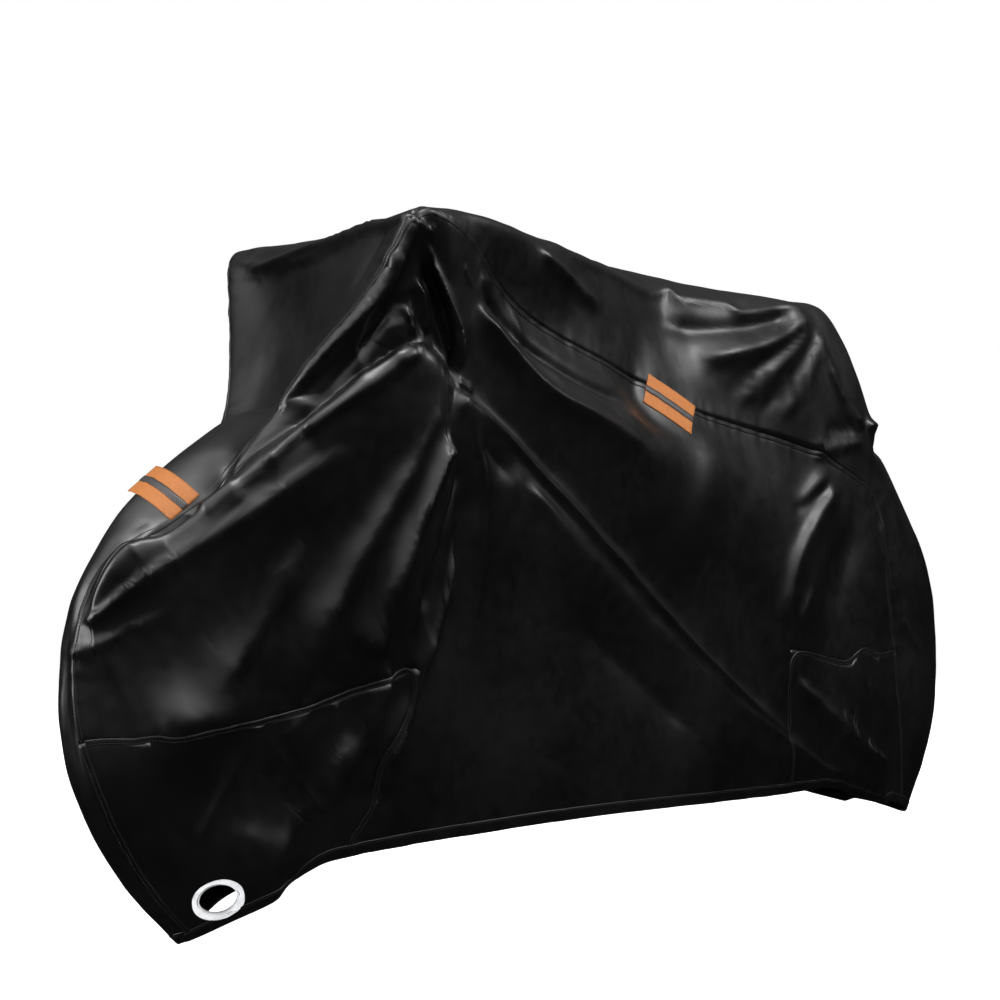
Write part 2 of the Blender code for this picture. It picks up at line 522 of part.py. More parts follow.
def oval_frame(sign):
    """Frame of an eyelet: x along its length, y up the cloth, z out of it; sign 1 near, -1 far."""
    centre = Vector((EYELET_CENTRE.x, EYELET_CENTRE.y * sign, EYELET_CENTRE.z)) - SADDLE_TOP
    normal = Vector((EYELET_NORMAL.x, EYELET_NORMAL.y * sign, EYELET_NORMAL.z))
    along = Vector((0, 0, 1)).cross(normal).normalized()
    up = normal.cross(along)
    turn = Matrix((along, up, normal)).transposed().to_4x4()
    return Matrix.Translation(centre) @ turn @ Matrix.Diagonal((1, EYELET_OVAL, 1, 1))


def eyelet(name, sign, material, collection):
    """Two-part ring, one flange on each face of the cloth and a barrel through the hole."""
    inside = -(CLOTH + GAP)
    barrel = EYELET_HOLE - 1.5 * GAP
    lip = EYELET_FLANGE
    profile = [(EYELET_BORE, inside - lip * 0.6), (EYELET_BORE + 0.0012, inside - lip),
               (EYELET_RIM - 0.0012, inside - lip), (EYELET_RIM, inside - lip * 0.5), (EYELET_RIM, inside),
               (barrel, inside), (barrel, GAP), (EYELET_RIM, GAP), (EYELET_RIM, GAP + lip * 0.4),
               (EYELET_RIM - 0.0030, GAP + lip), (EYELET_BORE + 0.0025, GAP + lip),
               (EYELET_BORE, GAP + lip * 0.5)]
    bm = bmesh.new()
    verts = [bm.verts.new((r, 0, h)) for r, h in profile]
    for i, vert in enumerate(verts):
        bm.edges.new((verts[i - 1], vert))
    bmesh.ops.spin(bm, geom=bm.verts[:] + bm.edges[:], cent=(0, 0, 0), axis=(0, 0, 1), dvec=(0, 0, 0),
                   angle=math.tau, steps=EYELET_STEPS, use_merge=True, use_duplicate=False)
    bmesh.ops.remove_doubles(bm, verts=bm.verts[:], dist=1e-6)
    bm.transform(oval_frame(sign))
    if bm.calc_volume(signed=True) < 0:
        bmesh.ops.reverse_faces(bm, faces=bm.faces[:])
    return new_object(name, bm, material, collection)


def punch(panel, sign, scratch):
    """Cuts the eyelet's hole through a front corner."""
    bm = bmesh.new()
    bmesh.ops.create_cone(bm, cap_ends=True, segments=EYELET_STEPS, radius1=EYELET_HOLE,
                          radius2=EYELET_HOLE, depth=0.03)
    bm.transform(oval_frame(sign))
    mesh = bpy.data.meshes.new(panel.name + "_punch")
    bm.to_mesh(mesh)
    bm.free()
    cutter = bpy.data.objects.new(mesh.name, mesh)
    cutter.hide_render = True
    cutter.display_type = "WIRE"
    scratch.objects.link(cutter)
    cut = panel.modifiers.new("eyelet hole", "BOOLEAN")
    cut.operation = "DIFFERENCE"
    cut.solver = "EXACT"
    cut.object = cutter


def tape_frame(middle, along, out):
    """Middle of a tape and its three ways: along it, across it and out of the cloth."""
    along, out = Vector(along).normalized(), Vector(out)
    out = (out - along * out.dot(along)).normalized()
    return Vector(middle), along, out.cross(along), out


def bowed(a, length, bow):
    """Height of a tape's bow at a place along it."""
    return bow * (1 - min(abs(2 * a / length), 1.4) ** 2)


def settle_under_tapes(bm):
    """Presses in the cloth that would stand out through a tape."""
    names = row_names()
    row_layer = bm.verts.layers.int["row"]
    for name, middle, along, out, length, height, bow in TAPES:
        middle, along, across, out = tape_frame(middle, along, out)
        for vert in bm.verts:
            away = vert.co - middle
            a, b, h = away.dot(along), away.dot(across), away.dot(out)
            if abs(h) > TAPE_DEPTH or names[vert[row_layer]][1] in BELOW_THE_FOLD:
                continue
            outside = math.hypot(max(abs(a) - length / 2, 0.0), max(abs(b) - height / 2, 0.0))
            share = min(max((outside - TAPE_REACH) / TAPE_BLEND, 0.0), 1.0)
            share = 1 - share * share * (3 - 2 * share)
            vert.co += out * (min(bowed(a, length, bow) - TAPE_CLEAR - h, 0.0) * share)
    bm.normal_update()


def tape(name, middle, along, out, length, height, bow, finishes, collection):
    """A stiff, slightly bowed reflective tape that lies on the cloth, with a grey strip along it."""
    middle, along, across, out = tape_frame(middle, along, out)
    for part, share, base, thick in (("", 1.0, 0.0, TAPE), ("_strip", STRIPE_SHARE, TAPE + GAP, STRIPE)):
        bm = bmesh.new()
        bmesh.ops.create_grid(bm, x_segments=TAPE_CELLS, y_segments=1, size=0.5)
        for vert in bm.verts:
            a, b = vert.co.x * length, vert.co.y * height * share
            vert.co = middle + along * a + across * b + out * (bowed(a, length, bow) + base) - SADDLE_TOP
        bm.normal_update()
        if bm.faces[:][0].normal.dot(out) < 0:
            bmesh.ops.reverse_faces(bm, faces=bm.faces[:])
        thing = new_object(name + part, bm, finishes[part], collection)
        solid = thing.modifiers.new("thickness", "SOLIDIFY")
        solid.thickness = thick
        solid.offset = 1.0


def material(name, colour, roughness, metallic=0.0):
    """A plain finish."""
    made = bpy.data.materials.new(name)
    made.use_nodes = True
    shader = made.node_tree.nodes["Principled BSDF"]
    shader.inputs["Base Color"].default_value = (*colour, 1.0)
    shader.inputs["Roughness"].default_value = roughness
    shader.inputs["Metallic"].default_value = metallic
    return made


def build():
    for thing in list(bpy.data.objects):
        bpy.data.objects.remove(thing)
    cover = bpy.data.collections.new("bicycle_cover")
    scratch = bpy.data.collections.new("cutters")
    bpy.context.scene.collection.children.link(cover)
    bpy.context.scene.collection.children.link(scratch)
    cloth = material("coated cloth", (0.012, 0.012, 0.013), 0.38)
    orange = material("orange tape", (0.90, 0.30, 0.07), 0.55)
    grey = material("grey strip", (0.16, 0.15, 0.15), 0.40)
    ring = material("grey ring", (0.52, 0.53, 0.54), 0.35)

    bm, places = skin()
    add_folds(bm, places)
    flatten_at_eyelets(bm)
    settle_under_tapes(bm)
    names = row_names()
    row_layer = bm.verts.layers.int["row"]
    side_layer = bm.faces.layers.int.new("side")
    for face in bm.faces:
        side = names[min(vert[row_layer] for vert in face.verts)][0]
        face[side_layer] = 1 if side.endswith("top") else (0 if side == "near side" else 2)
    cut_corners(bm, side_layer)
    bmesh.ops.triangulate(bm, faces=bm.faces[:], quad_method="SHORT_EDGE", ngon_method="BEAUTY")
    bm.normal_update()

    panel_layer = bm.faces.layers.int.new("panel")
    panels = []
    for face in bm.faces:
        name = panel_of(face, ("near", "top", "far")[face[side_layer]])
        if name not in panels:
            panels.append(name)
        face[panel_layer] = panels.index(name)
    join_strays(bm, panel_layer)
    inner = inner_side(bm)
    for index, name in enumerate(panels):
        panel = thick_panel(bm, panel_layer, index, inner)
        bmesh.ops.translate(panel, verts=panel.verts[:], vec=-SADDLE_TOP)
        thing = new_object(name, panel, cloth, cover)
        if name.endswith("front_corner"):
            punch(thing, 1 if name.startswith("near") else -1, scratch)
    eyelet("near_lock_eyelet", 1, ring, cover)
    eyelet("far_lock_eyelet", -1, ring, cover)
    for row in TAPES:
        tape(*row, {"": orange, "_strip": grey}, cover)
    bm.free()


build()
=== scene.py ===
import math

import bmesh
import bpy
import numpy as np
from mathutils import Matrix, Vector, noise
from mathutils.bvhtree import BVHTree
from mathutils.kdtree import KDTree


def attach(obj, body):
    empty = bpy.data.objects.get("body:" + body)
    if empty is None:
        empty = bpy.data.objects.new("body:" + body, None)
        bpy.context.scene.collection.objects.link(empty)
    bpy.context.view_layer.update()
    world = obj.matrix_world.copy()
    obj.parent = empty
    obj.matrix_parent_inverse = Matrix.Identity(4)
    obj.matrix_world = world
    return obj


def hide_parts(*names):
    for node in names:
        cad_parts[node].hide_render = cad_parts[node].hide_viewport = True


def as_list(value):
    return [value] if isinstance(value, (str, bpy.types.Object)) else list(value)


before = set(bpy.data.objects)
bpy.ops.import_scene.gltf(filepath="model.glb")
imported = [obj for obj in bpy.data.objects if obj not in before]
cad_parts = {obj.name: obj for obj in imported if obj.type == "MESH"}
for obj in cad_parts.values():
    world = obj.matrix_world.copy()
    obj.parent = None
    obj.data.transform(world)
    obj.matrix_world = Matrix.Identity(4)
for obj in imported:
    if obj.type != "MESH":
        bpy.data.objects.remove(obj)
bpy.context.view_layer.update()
scene = bpy.context.scene

# eye of the camera, turn from +Y towards +X, upward tilt, lens in mm on a 36 mm sensor
view = {"eye": (-2.121, -2.096, -0.573), "turn": 37.86, "tilt": 4.51, "lens": 64.1, "sensor": 36.0}


def placeCamera():
    data = bpy.data.cameras.new("camera")
    data.lens = view["lens"]
    data.sensor_width = view["sensor"]
    camera = bpy.data.objects.new("camera", data)
    camera.location = view["eye"]
    camera.rotation_euler = (math.radians(90 + view["tilt"]), 0, math.radians(-view["turn"]))
    scene.collection.objects.link(camera)
    scene.camera = camera


placeCamera()
print("camera placed")


# a socket of a node tree that takes part in Python expressions
class Flow:
    def __init__(self, tree, socket):
        self.tree = tree
        self.socket = socket

    def maths(self, operation, *values):
        return self.node("ShaderNodeMath", {"operation": operation}, dict(enumerate(values)))

    def node(self, kind, settings=(), sockets=(), out=0):
        made = self.tree.nodes.new(kind)
        for key, value in dict(settings).items():
            if key == "stops":
                for stop in value[2:]:
                    made.color_ramp.elements.new(stop[0])
                for element, stop in zip(made.color_ramp.elements, value):
                    element.position = stop[0]
                    element.color = stop[1]
            else:
                setattr(made, key, value)
        for key, value in dict(sockets).items():
            if isinstance(value, Flow):
                self.tree.links.new(value.socket, made.inputs[key])
            else:
                made.inputs[key].default_value = value
        return Flow(self.tree, made.outputs[out])

    def __add__(self, other):
        return self.maths("ADD", self, other)

    def __radd__(self, other):
        return self.maths("ADD", other, self)

    def __sub__(self, other):
        return self.maths("SUBTRACT", self, other)

    def __rsub__(self, other):
        return self.maths("SUBTRACT", other, self)

    def __mul__(self, other):
        return self.maths("MULTIPLY", self, other)

    def __rmul__(self, other):
        return self.maths("MULTIPLY", other, self)

    def clamped(self, low, high):
        return self.maths("MINIMUM", self.maths("MAXIMUM", self, low), high)

    # 0 below low, 1 above high and a straight rise between them
    def between(self, low, high):
        return ((self - low) * (1 / (high - low))).clamped(0.0, 1.0)

    # cloudy noise at these places
    def clouds(self, scale, detail):
        return self.node("ShaderNodeTexNoise", {}, {"Vector": self, "Scale": scale, "Detail": detail})

    # the three numbers of a vector
    def numbers(self):
        parts = self.node("ShaderNodeSeparateXYZ", {}, {0: self}).socket.node
        return [Flow(self.tree, parts.outputs[k]) for k in range(3)]


def newMaterial(name, roughness, specular, coat=0.0, coatRoughness=0.2):
    material = bpy.data.materials.new(name)
    material.use_nodes = True
    tree = material.node_tree
    shader = tree.nodes["Principled BSDF"]
    shader.inputs["Roughness"].default_value = roughness
    shader.inputs["Specular IOR Level"].default_value = specular
    shader.inputs["Coat Weight"].default_value = coat
    shader.inputs["Coat Roughness"].default_value = coatRoughness
    start = Flow(tree, shader.inputs["Base Color"])
    return material, shader, start


def feed(start, shader, socket, flow):
    start.tree.links.new(flow.socket, shader.inputs[socket])


def feedBump(start, shader, strength, distance, height):
    bump = start.node("ShaderNodeBump", {}, {"Strength": strength, "Distance": distance, "Height": height})
    feed(start, shader, "Normal", bump)


def mixColour(start, factor, first, second):
    return start.node("ShaderNodeMix", {"data_type": "RGBA"}, {0: factor, 6: first, 7: second}, out=2)


coated = {"dark": (0.0012, 0.0012, 0.0014, 1), "worn": (0.0028, 0.0028, 0.0031, 1), "roughness": 0.34,
          "specular": 0.85, "coat": 0.14, "coatRoughness": 0.24, "weave": 2300.0, "weaveDepth": 0.00004,
          "crinkle": 0.0007, "fine": 0.00025, "packed": 0.0011}


# black polyurethane-coated polyester: a fine plain weave under a satin coat
def coatedCloth():
    look = [coated[key] for key in ("roughness", "specular", "coat", "coatRoughness")]
    material, shader, start = newMaterial("coated cloth", *look)
    place = start.node("ShaderNodeTexCoord", out=3)
    cloudy = place.clouds(5.0, 3.0)
    fine = place.clouds(60.0, 4.0)
    along, deep, across = place.numbers()
    warp = (along + deep * 0.35) * coated["weave"]
    weft = (across + deep * 0.65) * coated["weave"]
    threads = start.maths("SINE", warp) * start.maths("SINE", weft)
    wear = (cloudy * 0.7 + fine * 0.3).between(0.42, 0.66)
    feed(start, shader, "Base Color", mixColour(start, wear, coated["dark"], coated["worn"]))
    feed(start, shader, "Roughness", wear * 0.09 + fine * 0.05 + coated["roughness"] - 0.05)
    crinkle = start.node("ShaderNodeTexNoise", {},
                         {"Vector": place, "Scale": 26.0, "Detail": 2.0, "Roughness": 0.45})
    packed = start.node("ShaderNodeTexNoise", {"noise_type": "RIDGED_MULTIFRACTAL", "normalize": False},
                        {"Vector": place, "Scale": 4.5, "Detail": 2.0, "Roughness": 0.5})
    height = (threads * coated["weaveDepth"] + crinkle * coated["crinkle"] + fine * coated["fine"]
              + packed * coated["packed"])
    feedBump(start, shader, 0.55, 1.0, height)
    return material


# black bonded thread, a little lighter than the cloth
def sewingThread():
    material, shader, start = newMaterial("thread", 0.42, 0.5)
    place = start.node("ShaderNodeTexCoord", out=3)
    ply = start.node("ShaderNodeTexWave", {"bands_direction": "DIAGONAL"}, {"Vector": place, "Scale": 420.0})
    tone = mixColour(start, ply, (0.010, 0.010, 0.011, 1), (0.030, 0.030, 0.032, 1))
    feed(start, shader, "Base Color", tone)
    return material


orange = {"light": (0.56, 0.205, 0.055, 1), "dark": (0.40, 0.125, 0.030, 1)}


# dull orange reflective tape with a honeycomb of small cells
def orangeTape():
    material, shader, start = newMaterial("orange tape", 0.48, 0.4)
    flat = start.node("ShaderNodeTexCoord", out=2)
    cells = start.node("ShaderNodeTexVoronoi", {"feature": "DISTANCE_TO_EDGE"},
                       {"Vector": flat, "Scale": 46.0})
    dust = flat.clouds(7.0, 5.0)
    lit = (cells * 4.0 + dust * 0.8).between(0.35, 0.95)
    feed(start, shader, "Base Color", mixColour(start, lit, orange["dark"], orange["light"]))
    feed(start, shader, "Roughness", dust * 0.25 + 0.38)
    feedBump(start, shader, 0.35, 0.0004, cells.between(0.0, 0.2))
    return material


# silver grey reflective stripe, darkened by fine slanting lines
def greyStrip():
    material, shader, start = newMaterial("grey strip", 0.34, 0.5)
    flat = start.node("ShaderNodeTexCoord", out=2)
    lines = start.node("ShaderNodeTexWave", {"bands_direction": "DIAGONAL"},
                       {"Vector": flat, "Scale": 9.0, "Distortion": 1.2})
    dust = flat.clouds(16.0, 4.0)
    lit = (lines * 0.6 + dust * 0.7).between(0.25, 0.95)
    tone = mixColour(start, lit, (0.020, 0.018, 0.018, 1), (0.100, 0.092, 0.090, 1))
    feed(start, shader, "Base Color", tone)
    feedBump(start, shader, 0.4, 0.0003, lines)
    return material


# light grey moulded ring with a fine cast grain
def greyRing():
    material, shader, start = newMaterial("grey ring", 0.33, 0.5)
    place = start.node("ShaderNodeTexCoord", out=3)
    grain = place.clouds(900.0, 3.0)
    stain = place.clouds(60.0, 3.0)
    tone = mixColour(start, stain.between(0.4, 0.7), (0.66, 0.67, 0.68, 1), (0.50, 0.51, 0.53, 1))
    feed(start, shader, "Base Color", tone)
    feed(start, shader, "Roughness", stain * 0.2 + 0.24)
    feedBump(start, shader, 0.25, 0.0001, grain)
    return material


clothFinish = coatedCloth()
threadFinish = sewingThread()
orangeFinish = orangeTape()
stripFinish = greyStrip()
ringFinish = greyRing()
print("finishes made")


def meshFrom(bm, name):
    mesh = bpy.data.meshes.new(name)
    bm.to_mesh(mesh)
    bm.free()
    return mesh


def newPiece(name, mesh, finish):
    piece = bpy.data.objects.new(name, mesh)
    scene.collection.objects.link(piece)
    mesh.materials.clear()
    mesh.materials.append(finish)
    mesh.shade_smooth()
    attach(piece, "root")
    return piece


# the mesh as it is after some modifiers
def applied(mesh, addModifiers):
    helper = bpy.data.objects.new("helper", mesh)
    scene.collection.objects.link(helper)
    addModifiers(helper)
    shaped = helper.evaluated_get(bpy.context.evaluated_depsgraph_get())
    result = bpy.data.meshes.new_from_object(shaped)
    bpy.data.objects.remove(helper)
    return result


def subdivided(levels):
    def add(helper):
        smoothing = helper.modifiers.new("smooth", "SUBSURF")
        smoothing.levels = levels
        smoothing.render_levels = levels
        smoothing.boundary_smooth = "PRESERVE_CORNERS"
    return add


def smoothStep(value):
    share = np.clip(value, 0.0, 1.0)
    return share * share * (3 - 2 * share)


panels = ["top_panel", "near_side_panel", "far_side_panel", "near_front_corner", "far_front_corner",
          "near_rear_corner", "far_rear_corner"]
# merge: same corner of two triangles; thin and thick: limits for the side of a cut edge; facing: how
# well its faces must look along it, tried in turn; core: the line inside the cover, ends in x and its
# height, that outward is told from; weld: neighbours across a seam; join: most degrees between two
# triangles and off a square cell; longest cell after the extra cuts on the near and the far side
skin = {"merge": 2e-5, "thin": 0.0013, "thick": 0.0026, "facing": (0.6, 0.45, 0.3, 0.15),
        "coreEnds": (-0.95, 0.25), "coreHeight": -0.5, "weld": 0.0020, "joinFlat": 70, "joinShape": 60,
        "levels": 2, "nearCell": 0.0075, "farCell": 0.012, "farFrom": 0.01, "mostCuts": 3, "cloth": 0.0011}


# faces of the cut edge: each has a side as long as the cloth is thick, between faces that look apart
def rimFaces(bm, facing):
    rims = set()
    for edge in bm.edges:
        if not skin["thin"] < edge.calc_length() < skin["thick"]:
            continue
        first, last = edge.verts
        way = (first.co - last.co).normalized()
        if (max(face.normal.dot(way) for face in first.link_faces) > facing
                and max(face.normal.dot(-way) for face in last.link_faces) > facing):
            rims.update(edge.link_faces)
    return rims


def islandsOf(faces):
    unseen = set(faces)
    found = []
    while unseen:
        island = [unseen.pop()]
        for face in island:
            for edge in face.edges:
                for other in edge.link_faces:
                    if other in unseen:
                        unseen.remove(other)
                        island.append(other)
        found.append(island)
    return found


def outwardness(faces):
    total = 0.0
    front, back = skin["coreEnds"]
    for face in faces:
        middle = face.calc_center_median()
        away = middle - Vector((min(max(middle.x, front), back), 0, skin["coreHeight"]))
        total += face.calc_area() * face.normal.dot(away)
    return total


# the outer face of one packed panel, with its index as material
def outerFace(node, index):
    bm = bmesh.new()
    bm.from_mesh(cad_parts[node].data)
    bmesh.ops.remove_doubles(bm, verts=bm.verts, dist=skin["merge"])
    for facing in skin["facing"]:
        islands = islandsOf(set(bm.faces) - rimFaces(bm, facing))
        if len(islands) == 2:
            break
    outer = max(islands, key=outwardness)
    rest = list(set(bm.faces) - set(outer))
    bmesh.ops.delete(bm, geom=rest, context="FACES")
    for face in bm.faces:
        face.material_index = index
    return bm


# all panels sewn into one surface of quads
def wholeSkin():
    joined = bmesh.new()
    for index, node in enumerate(panels):
        mesh = meshFrom(outerFace(node, index), node + "_outer")
        joined.from_mesh(mesh)
        bpy.data.meshes.remove(mesh)
    edge = [vert for vert in joined.verts if vert.is_boundary]
    bmesh.ops.remove_doubles(joined, verts=edge, dist=skin["weld"])
    bmesh.ops.join_triangles(joined, faces=joined.faces, cmp_materials=True,
                             angle_face_threshold=math.radians(skin["joinFlat"]),
                             angle_shape_threshold=math.radians(skin["joinShape"]))
    return joined


# cuts whole rings of cells whose edges are long on average, so that creases can bend them
def cutLongRows(bm):
    seen = set()
    plans = {}
    for start in bm.edges:
        if start in seen:
            continue
        seen.add(start)
        ring = [start]
        for edge in ring:
            for face in edge.link_faces:
                if len(face.edges) == 4:
                    loop = next(corner for corner in face.loops if corner.edge == edge)
                    other = loop.link_loop_next.link_loop_next.edge
                    if other not in seen:
                        seen.add(other)
                        ring.append(other)
        mean = sum(edge.calc_length() for edge in ring) / len(ring)
        side = sum(edge.verts[0].co.y for edge in ring) / len(ring)
        cell = skin["nearCell"] if side < skin["farFrom"] else skin["farCell"]
        cuts = min(int(mean / cell), skin["mostCuts"])
        if cuts:
            plans.setdefault(cuts, []).extend(ring)
    for cuts, edges in plans.items():
        live = [edge for edge in edges if edge.is_valid]
        bmesh.ops.subdivide_edges(bm, edges=live, cuts=cuts, use_grid_fill=True, smooth=1.0)


def smoothSkin():
    coarse = meshFrom(wholeSkin(), "skin")
    fine = applied(coarse, subdivided(skin["levels"]))
    bm = bmesh.new()
    bm.from_mesh(fine)
    cutLongRows(bm)
    bmesh.ops.recalc_face_normals(bm, faces=bm.faces)
    bm.normal_update()
    return bm


cover = smoothSkin()
print("skin", len(cover.verts), "corners,", len(cover.faces), "cells")


def coordinates(bm):
    points = np.array([vert.co[:] for vert in bm.verts])
    normals = np.array([vert.normal[:] for vert in bm.verts])
    return points, normals


def moveTo(bm, points):
    for vert, point in zip(bm.verts, points.tolist()):
        vert.co = point
    bm.normal_update()


# middle, way of the length, way the tape faces, length, height, bow, in the cover's own frame
tapes = {
    "front_tape": {"middle": (-1.057, -0.019, -0.383), "along": (0.187, -0.88, -0.44),
                   "out": (-0.68, -0.44, 0.59), "length": 0.100, "height": 0.050, "bow": 0.013},
    "near_side_tape": {"middle": (-0.254, -0.118, -0.212), "along": (0.894, -0.10, -0.435),
                       "out": (-0.13, -0.90, 0.36), "length": 0.100, "height": 0.055, "bow": 0.002},
    "far_side_tape": {"middle": (-0.254, 0.125, -0.212), "along": (0.894, 0.10, -0.435),
                      "out": (-0.13, 0.90, 0.36), "length": 0.100, "height": 0.055, "bow": 0.002},
}
# calm: no crease comes this close to a tape's middle, and it grows back over this much more; probe:
# where the search for the cloth starts and how far it goes; ride: how far a tape follows the cloth's
# unevenness, and the limits of that; pattern: units of a tape's own map to a metre
tapeMake = {"cells": 28, "rows": 16, "fewestRows": 3, "lift": 0.0010, "thick": 0.0010,
            "stripLift": 0.0018, "stripThick": 0.0006, "stripShare": 0.20, "wave": 0.0012, "waves": 6,
            "calm": (0.045, 0.030), "probe": (0.02, 0.05), "ride": 0.6, "rideLimits": (-0.002, 0.004),
            "pattern": 20}


# the way each view looks: near and far along Y at (x, z), front and rear along X at (y, z), and
# above down at (x, y)
lookWays = {"near": (0, 1, 0), "far": (0, -1, 0), "front": (1, 0, 0), "rear": (-1, 0, 0),
            "above": (0, 0, -1)}
# rayStart: how far off a ray to the cloth starts, and rayNear where the cloth is looked for if it
# misses; steps between two places of a route; reach over the half width; deep and facing: which cloth
# a crease moves; slope of its sides
pressing = {"rayStart": 3.0, "rayNear": 2.75, "steps": 8, "reach": 2.6, "deep": 0.035, "facing": 0.15,
            "slope": 3.2}
creases = []


def startOfRay(look, pair):
    way = lookWays[look]
    point = [-pressing["rayStart"] * w for w in way]
    values = iter(pair)
    for axis in range(3):
        if way[axis] == 0:
            point[axis] = next(values)
    return Vector(point), Vector(way)


# points on a smooth curve through the given ones
def throughPoints(points, steps):
    ends = [2 * points[0] - points[1]] + points + [2 * points[-1] - points[-2]]
    line = []
    for i in range(1, len(ends) - 2):
        a, b, c, d = ends[i - 1:i + 3]
        for step in range(steps):
            t = step / steps
            line.append(0.5 * (2 * b + (c - a) * t + (2 * a - 5 * b + 4 * c - d) * t ** 2
                               + (3 * b - a - 3 * c + d) * t ** 3))
    line.append(points[-1])
    return line


# the route laid on the cloth: points and outward normals
def routeOnCloth(tree, look, pairs):
    flat = throughPoints([Vector((*pair, 0)) for pair in pairs], pressing["steps"])
    points, normals = [], []
    for place in flat:
        start, way = startOfRay(look, (place.x, place.y))
        spot, normal, _, _ = tree.ray_cast(start, way)
        if spot is None:
            spot, normal, _, _ = tree.find_nearest(start + way * pressing["rayNear"])
        if normal.dot(way) > 0:
            normal = -normal
        points.append(spot)
        normals.append(normal)
    return np.array([p[:] for p in points]), np.array([n[:] for n in normals])


# which points one crease moves, and how far
def creaseShift(points, normals, line, lineNormals, crease):
    widest = pressing["reach"] * max(crease["width"]) * (1 + abs(crease["lean"]))
    low, high = line.min(axis=0) - widest, line.max(axis=0) + widest
    near = np.flatnonzero(((points > low) & (points < high)).all(axis=1))
    if not len(near):
        return None
    best = np.full(len(near), np.inf)
    side = np.zeros(len(near))
    share = np.zeros(len(near))
    sideways = np.zeros((len(near), 3))
    steps = np.linalg.norm(np.diff(line, axis=0), axis=1)
    start = np.concatenate([[0], np.cumsum(steps)])
    for i, step in enumerate(steps):
        if step < 1e-6:
            continue
        way = (line[i + 1] - line[i]) / step
        up = lineNormals[i] + lineNormals[i + 1]
        up /= np.linalg.norm(up)
        away = points[near] - line[i]
        along = np.clip(away @ way, 0, step)
        gap = away - along[:, None] * way
        heightNow = gap @ up
        flat = gap - heightNow[:, None] * up
        far = np.linalg.norm(flat, axis=1)
        left = np.cross(up, way)
        closer = ((far < best) & (np.abs(heightNow) < pressing["deep"])
                  & (normals[near] @ up > pressing["facing"]))
        best[closer] = far[closer]
        side[closer] = (flat @ left)[closer]
        share[closer] = start[i] + along[closer]
        sideways[closer] = left
    length = start[-1]
    t = share / length
    half = crease["width"][0] * (1 - t) + crease["width"][1] * t
    lean = crease["lean"]
    half = half * np.where(side > 0, 1 + lean, 1 - lean)
    shape = np.exp(1 - np.sqrt(1 + pressing["slope"] * (best / half) ** 2))
    fadeIn, fadeOut = crease["fades"]
    ends = smoothStep(share / max(fadeIn, 1e-4)) * smoothStep((length - share) / max(fadeOut, 1e-4))
    lift = crease["height"] * shape * ends
    lift[~np.isfinite(best)] = 0
    lap = -np.sign(lean) * crease["lap"] * shape * ends
    lap[~np.isfinite(best)] = 0
    move = normals[near] * lift[:, None] + sideways * lap[:, None]
    return near, move * calmNearTapes(points[near])[:, None]


# 0 under a tape, where the cloth lies flat, and 1 away from it
def calmNearTapes(points):
    share = np.ones(len(points))
    for tape in tapes.values():
        away = np.linalg.norm(points - np.array(tape["middle"]), axis=1)
        share *= smoothStep((away - tapeMake["calm"][0]) / tapeMake["calm"][1])
    return share


# height out of the cloth, half width at its start and end, lean (1 puts all the width on the left of
# the route, -1 on the right), fades at its start and end, its route in the view that it is looked at
# from, and lap, the shift of its crest to the narrow side
def addCrease(name, height, width, lean, fades, route, look="near", lap=0.0):
    creases.append({"name": name, "look": look, "height": height, "width": width, "lean": lean, "lap": lap,
                    "fades": fades, "route": route})


def pressCreases(bm):
    points, normals = coordinates(bm)
    tree = BVHTree.FromBMesh(bm)
    moves = np.zeros_like(points)
    for crease in creases:
        line, lineNormals = routeOnCloth(tree, crease["look"], crease["route"])
        found = creaseShift(points, normals, line, lineNormals, crease)
        if found is None:
            print("no cloth near the crease", crease["name"])
        else:
            np.add.at(moves, found[0], found[1])
    moveTo(bm, points + moves)


# slow unevenness all over
def rumple(bm, size, depth, seed):
    points, normals = coordinates(bm)
    lift = np.array([noise.noise(Vector(p) / size + Vector((seed, 0, 0))) for p in points.tolist()])
    moveTo(bm, points + normals * (lift * depth)[:, None])


# folds of the handlebar's near end
addCrease("bar fold", 0.0150, (0.007, 0.014), -0.3, (0.05, 0.14), [
    (-0.820, -0.026), (-0.833, -0.080), (-0.844, -0.118), (-0.871, -0.161), (-0.898, -0.200),
    (-0.926, -0.242), (-0.945, -0.268)])
addCrease("bar fold, outer", 0.0060, (0.006, 0.012), 0.0, (0.05, 0.08), [
    (-0.838, -0.050), (-0.856, -0.100), (-0.880, -0.150), (-0.905, -0.195), (-0.935, -0.240)])
addCrease("bar valley", -0.0090, (0.008, 0.012), 0.0, (0.02, 0.16), [
    (-0.822, -0.120), (-0.842, -0.160), (-0.872, -0.207), (-0.902, -0.250), (-0.934, -0.290)])
addCrease("bar facet", 0.0090, (0.018, 0.012), -0.4, (0.05, 0.09), [
    (-0.776, -0.170), (-0.806, -0.196), (-0.838, -0.220), (-0.878, -0.246)])
addCrease("shoulder", 0.0070, (0.008, 0.009), -0.4, (0.06, 0.14), [
    (-0.760, -0.172), (-0.806, -0.206), (-0.840, -0.234), (-0.872, -0.256), (-0.905, -0.280),
    (-0.950, -0.320), (-1.003, -0.370), (-1.073, -0.424), (-1.110, -0.450)])
addCrease("pleat a", 0.0120, (0.004, 0.005), 0.2, (0.03, 0.02), [
    (-0.800, -0.052), (-0.772, -0.085), (-0.746, -0.130), (-0.726, -0.170), (-0.716, -0.215)])
addCrease("pleat a, trough", -0.0190, (0.005, 0.007), 0.0, (0.03, 0.03), [
    (-0.790, -0.074), (-0.766, -0.114), (-0.745, -0.156), (-0.731, -0.194), (-0.722, -0.235)])
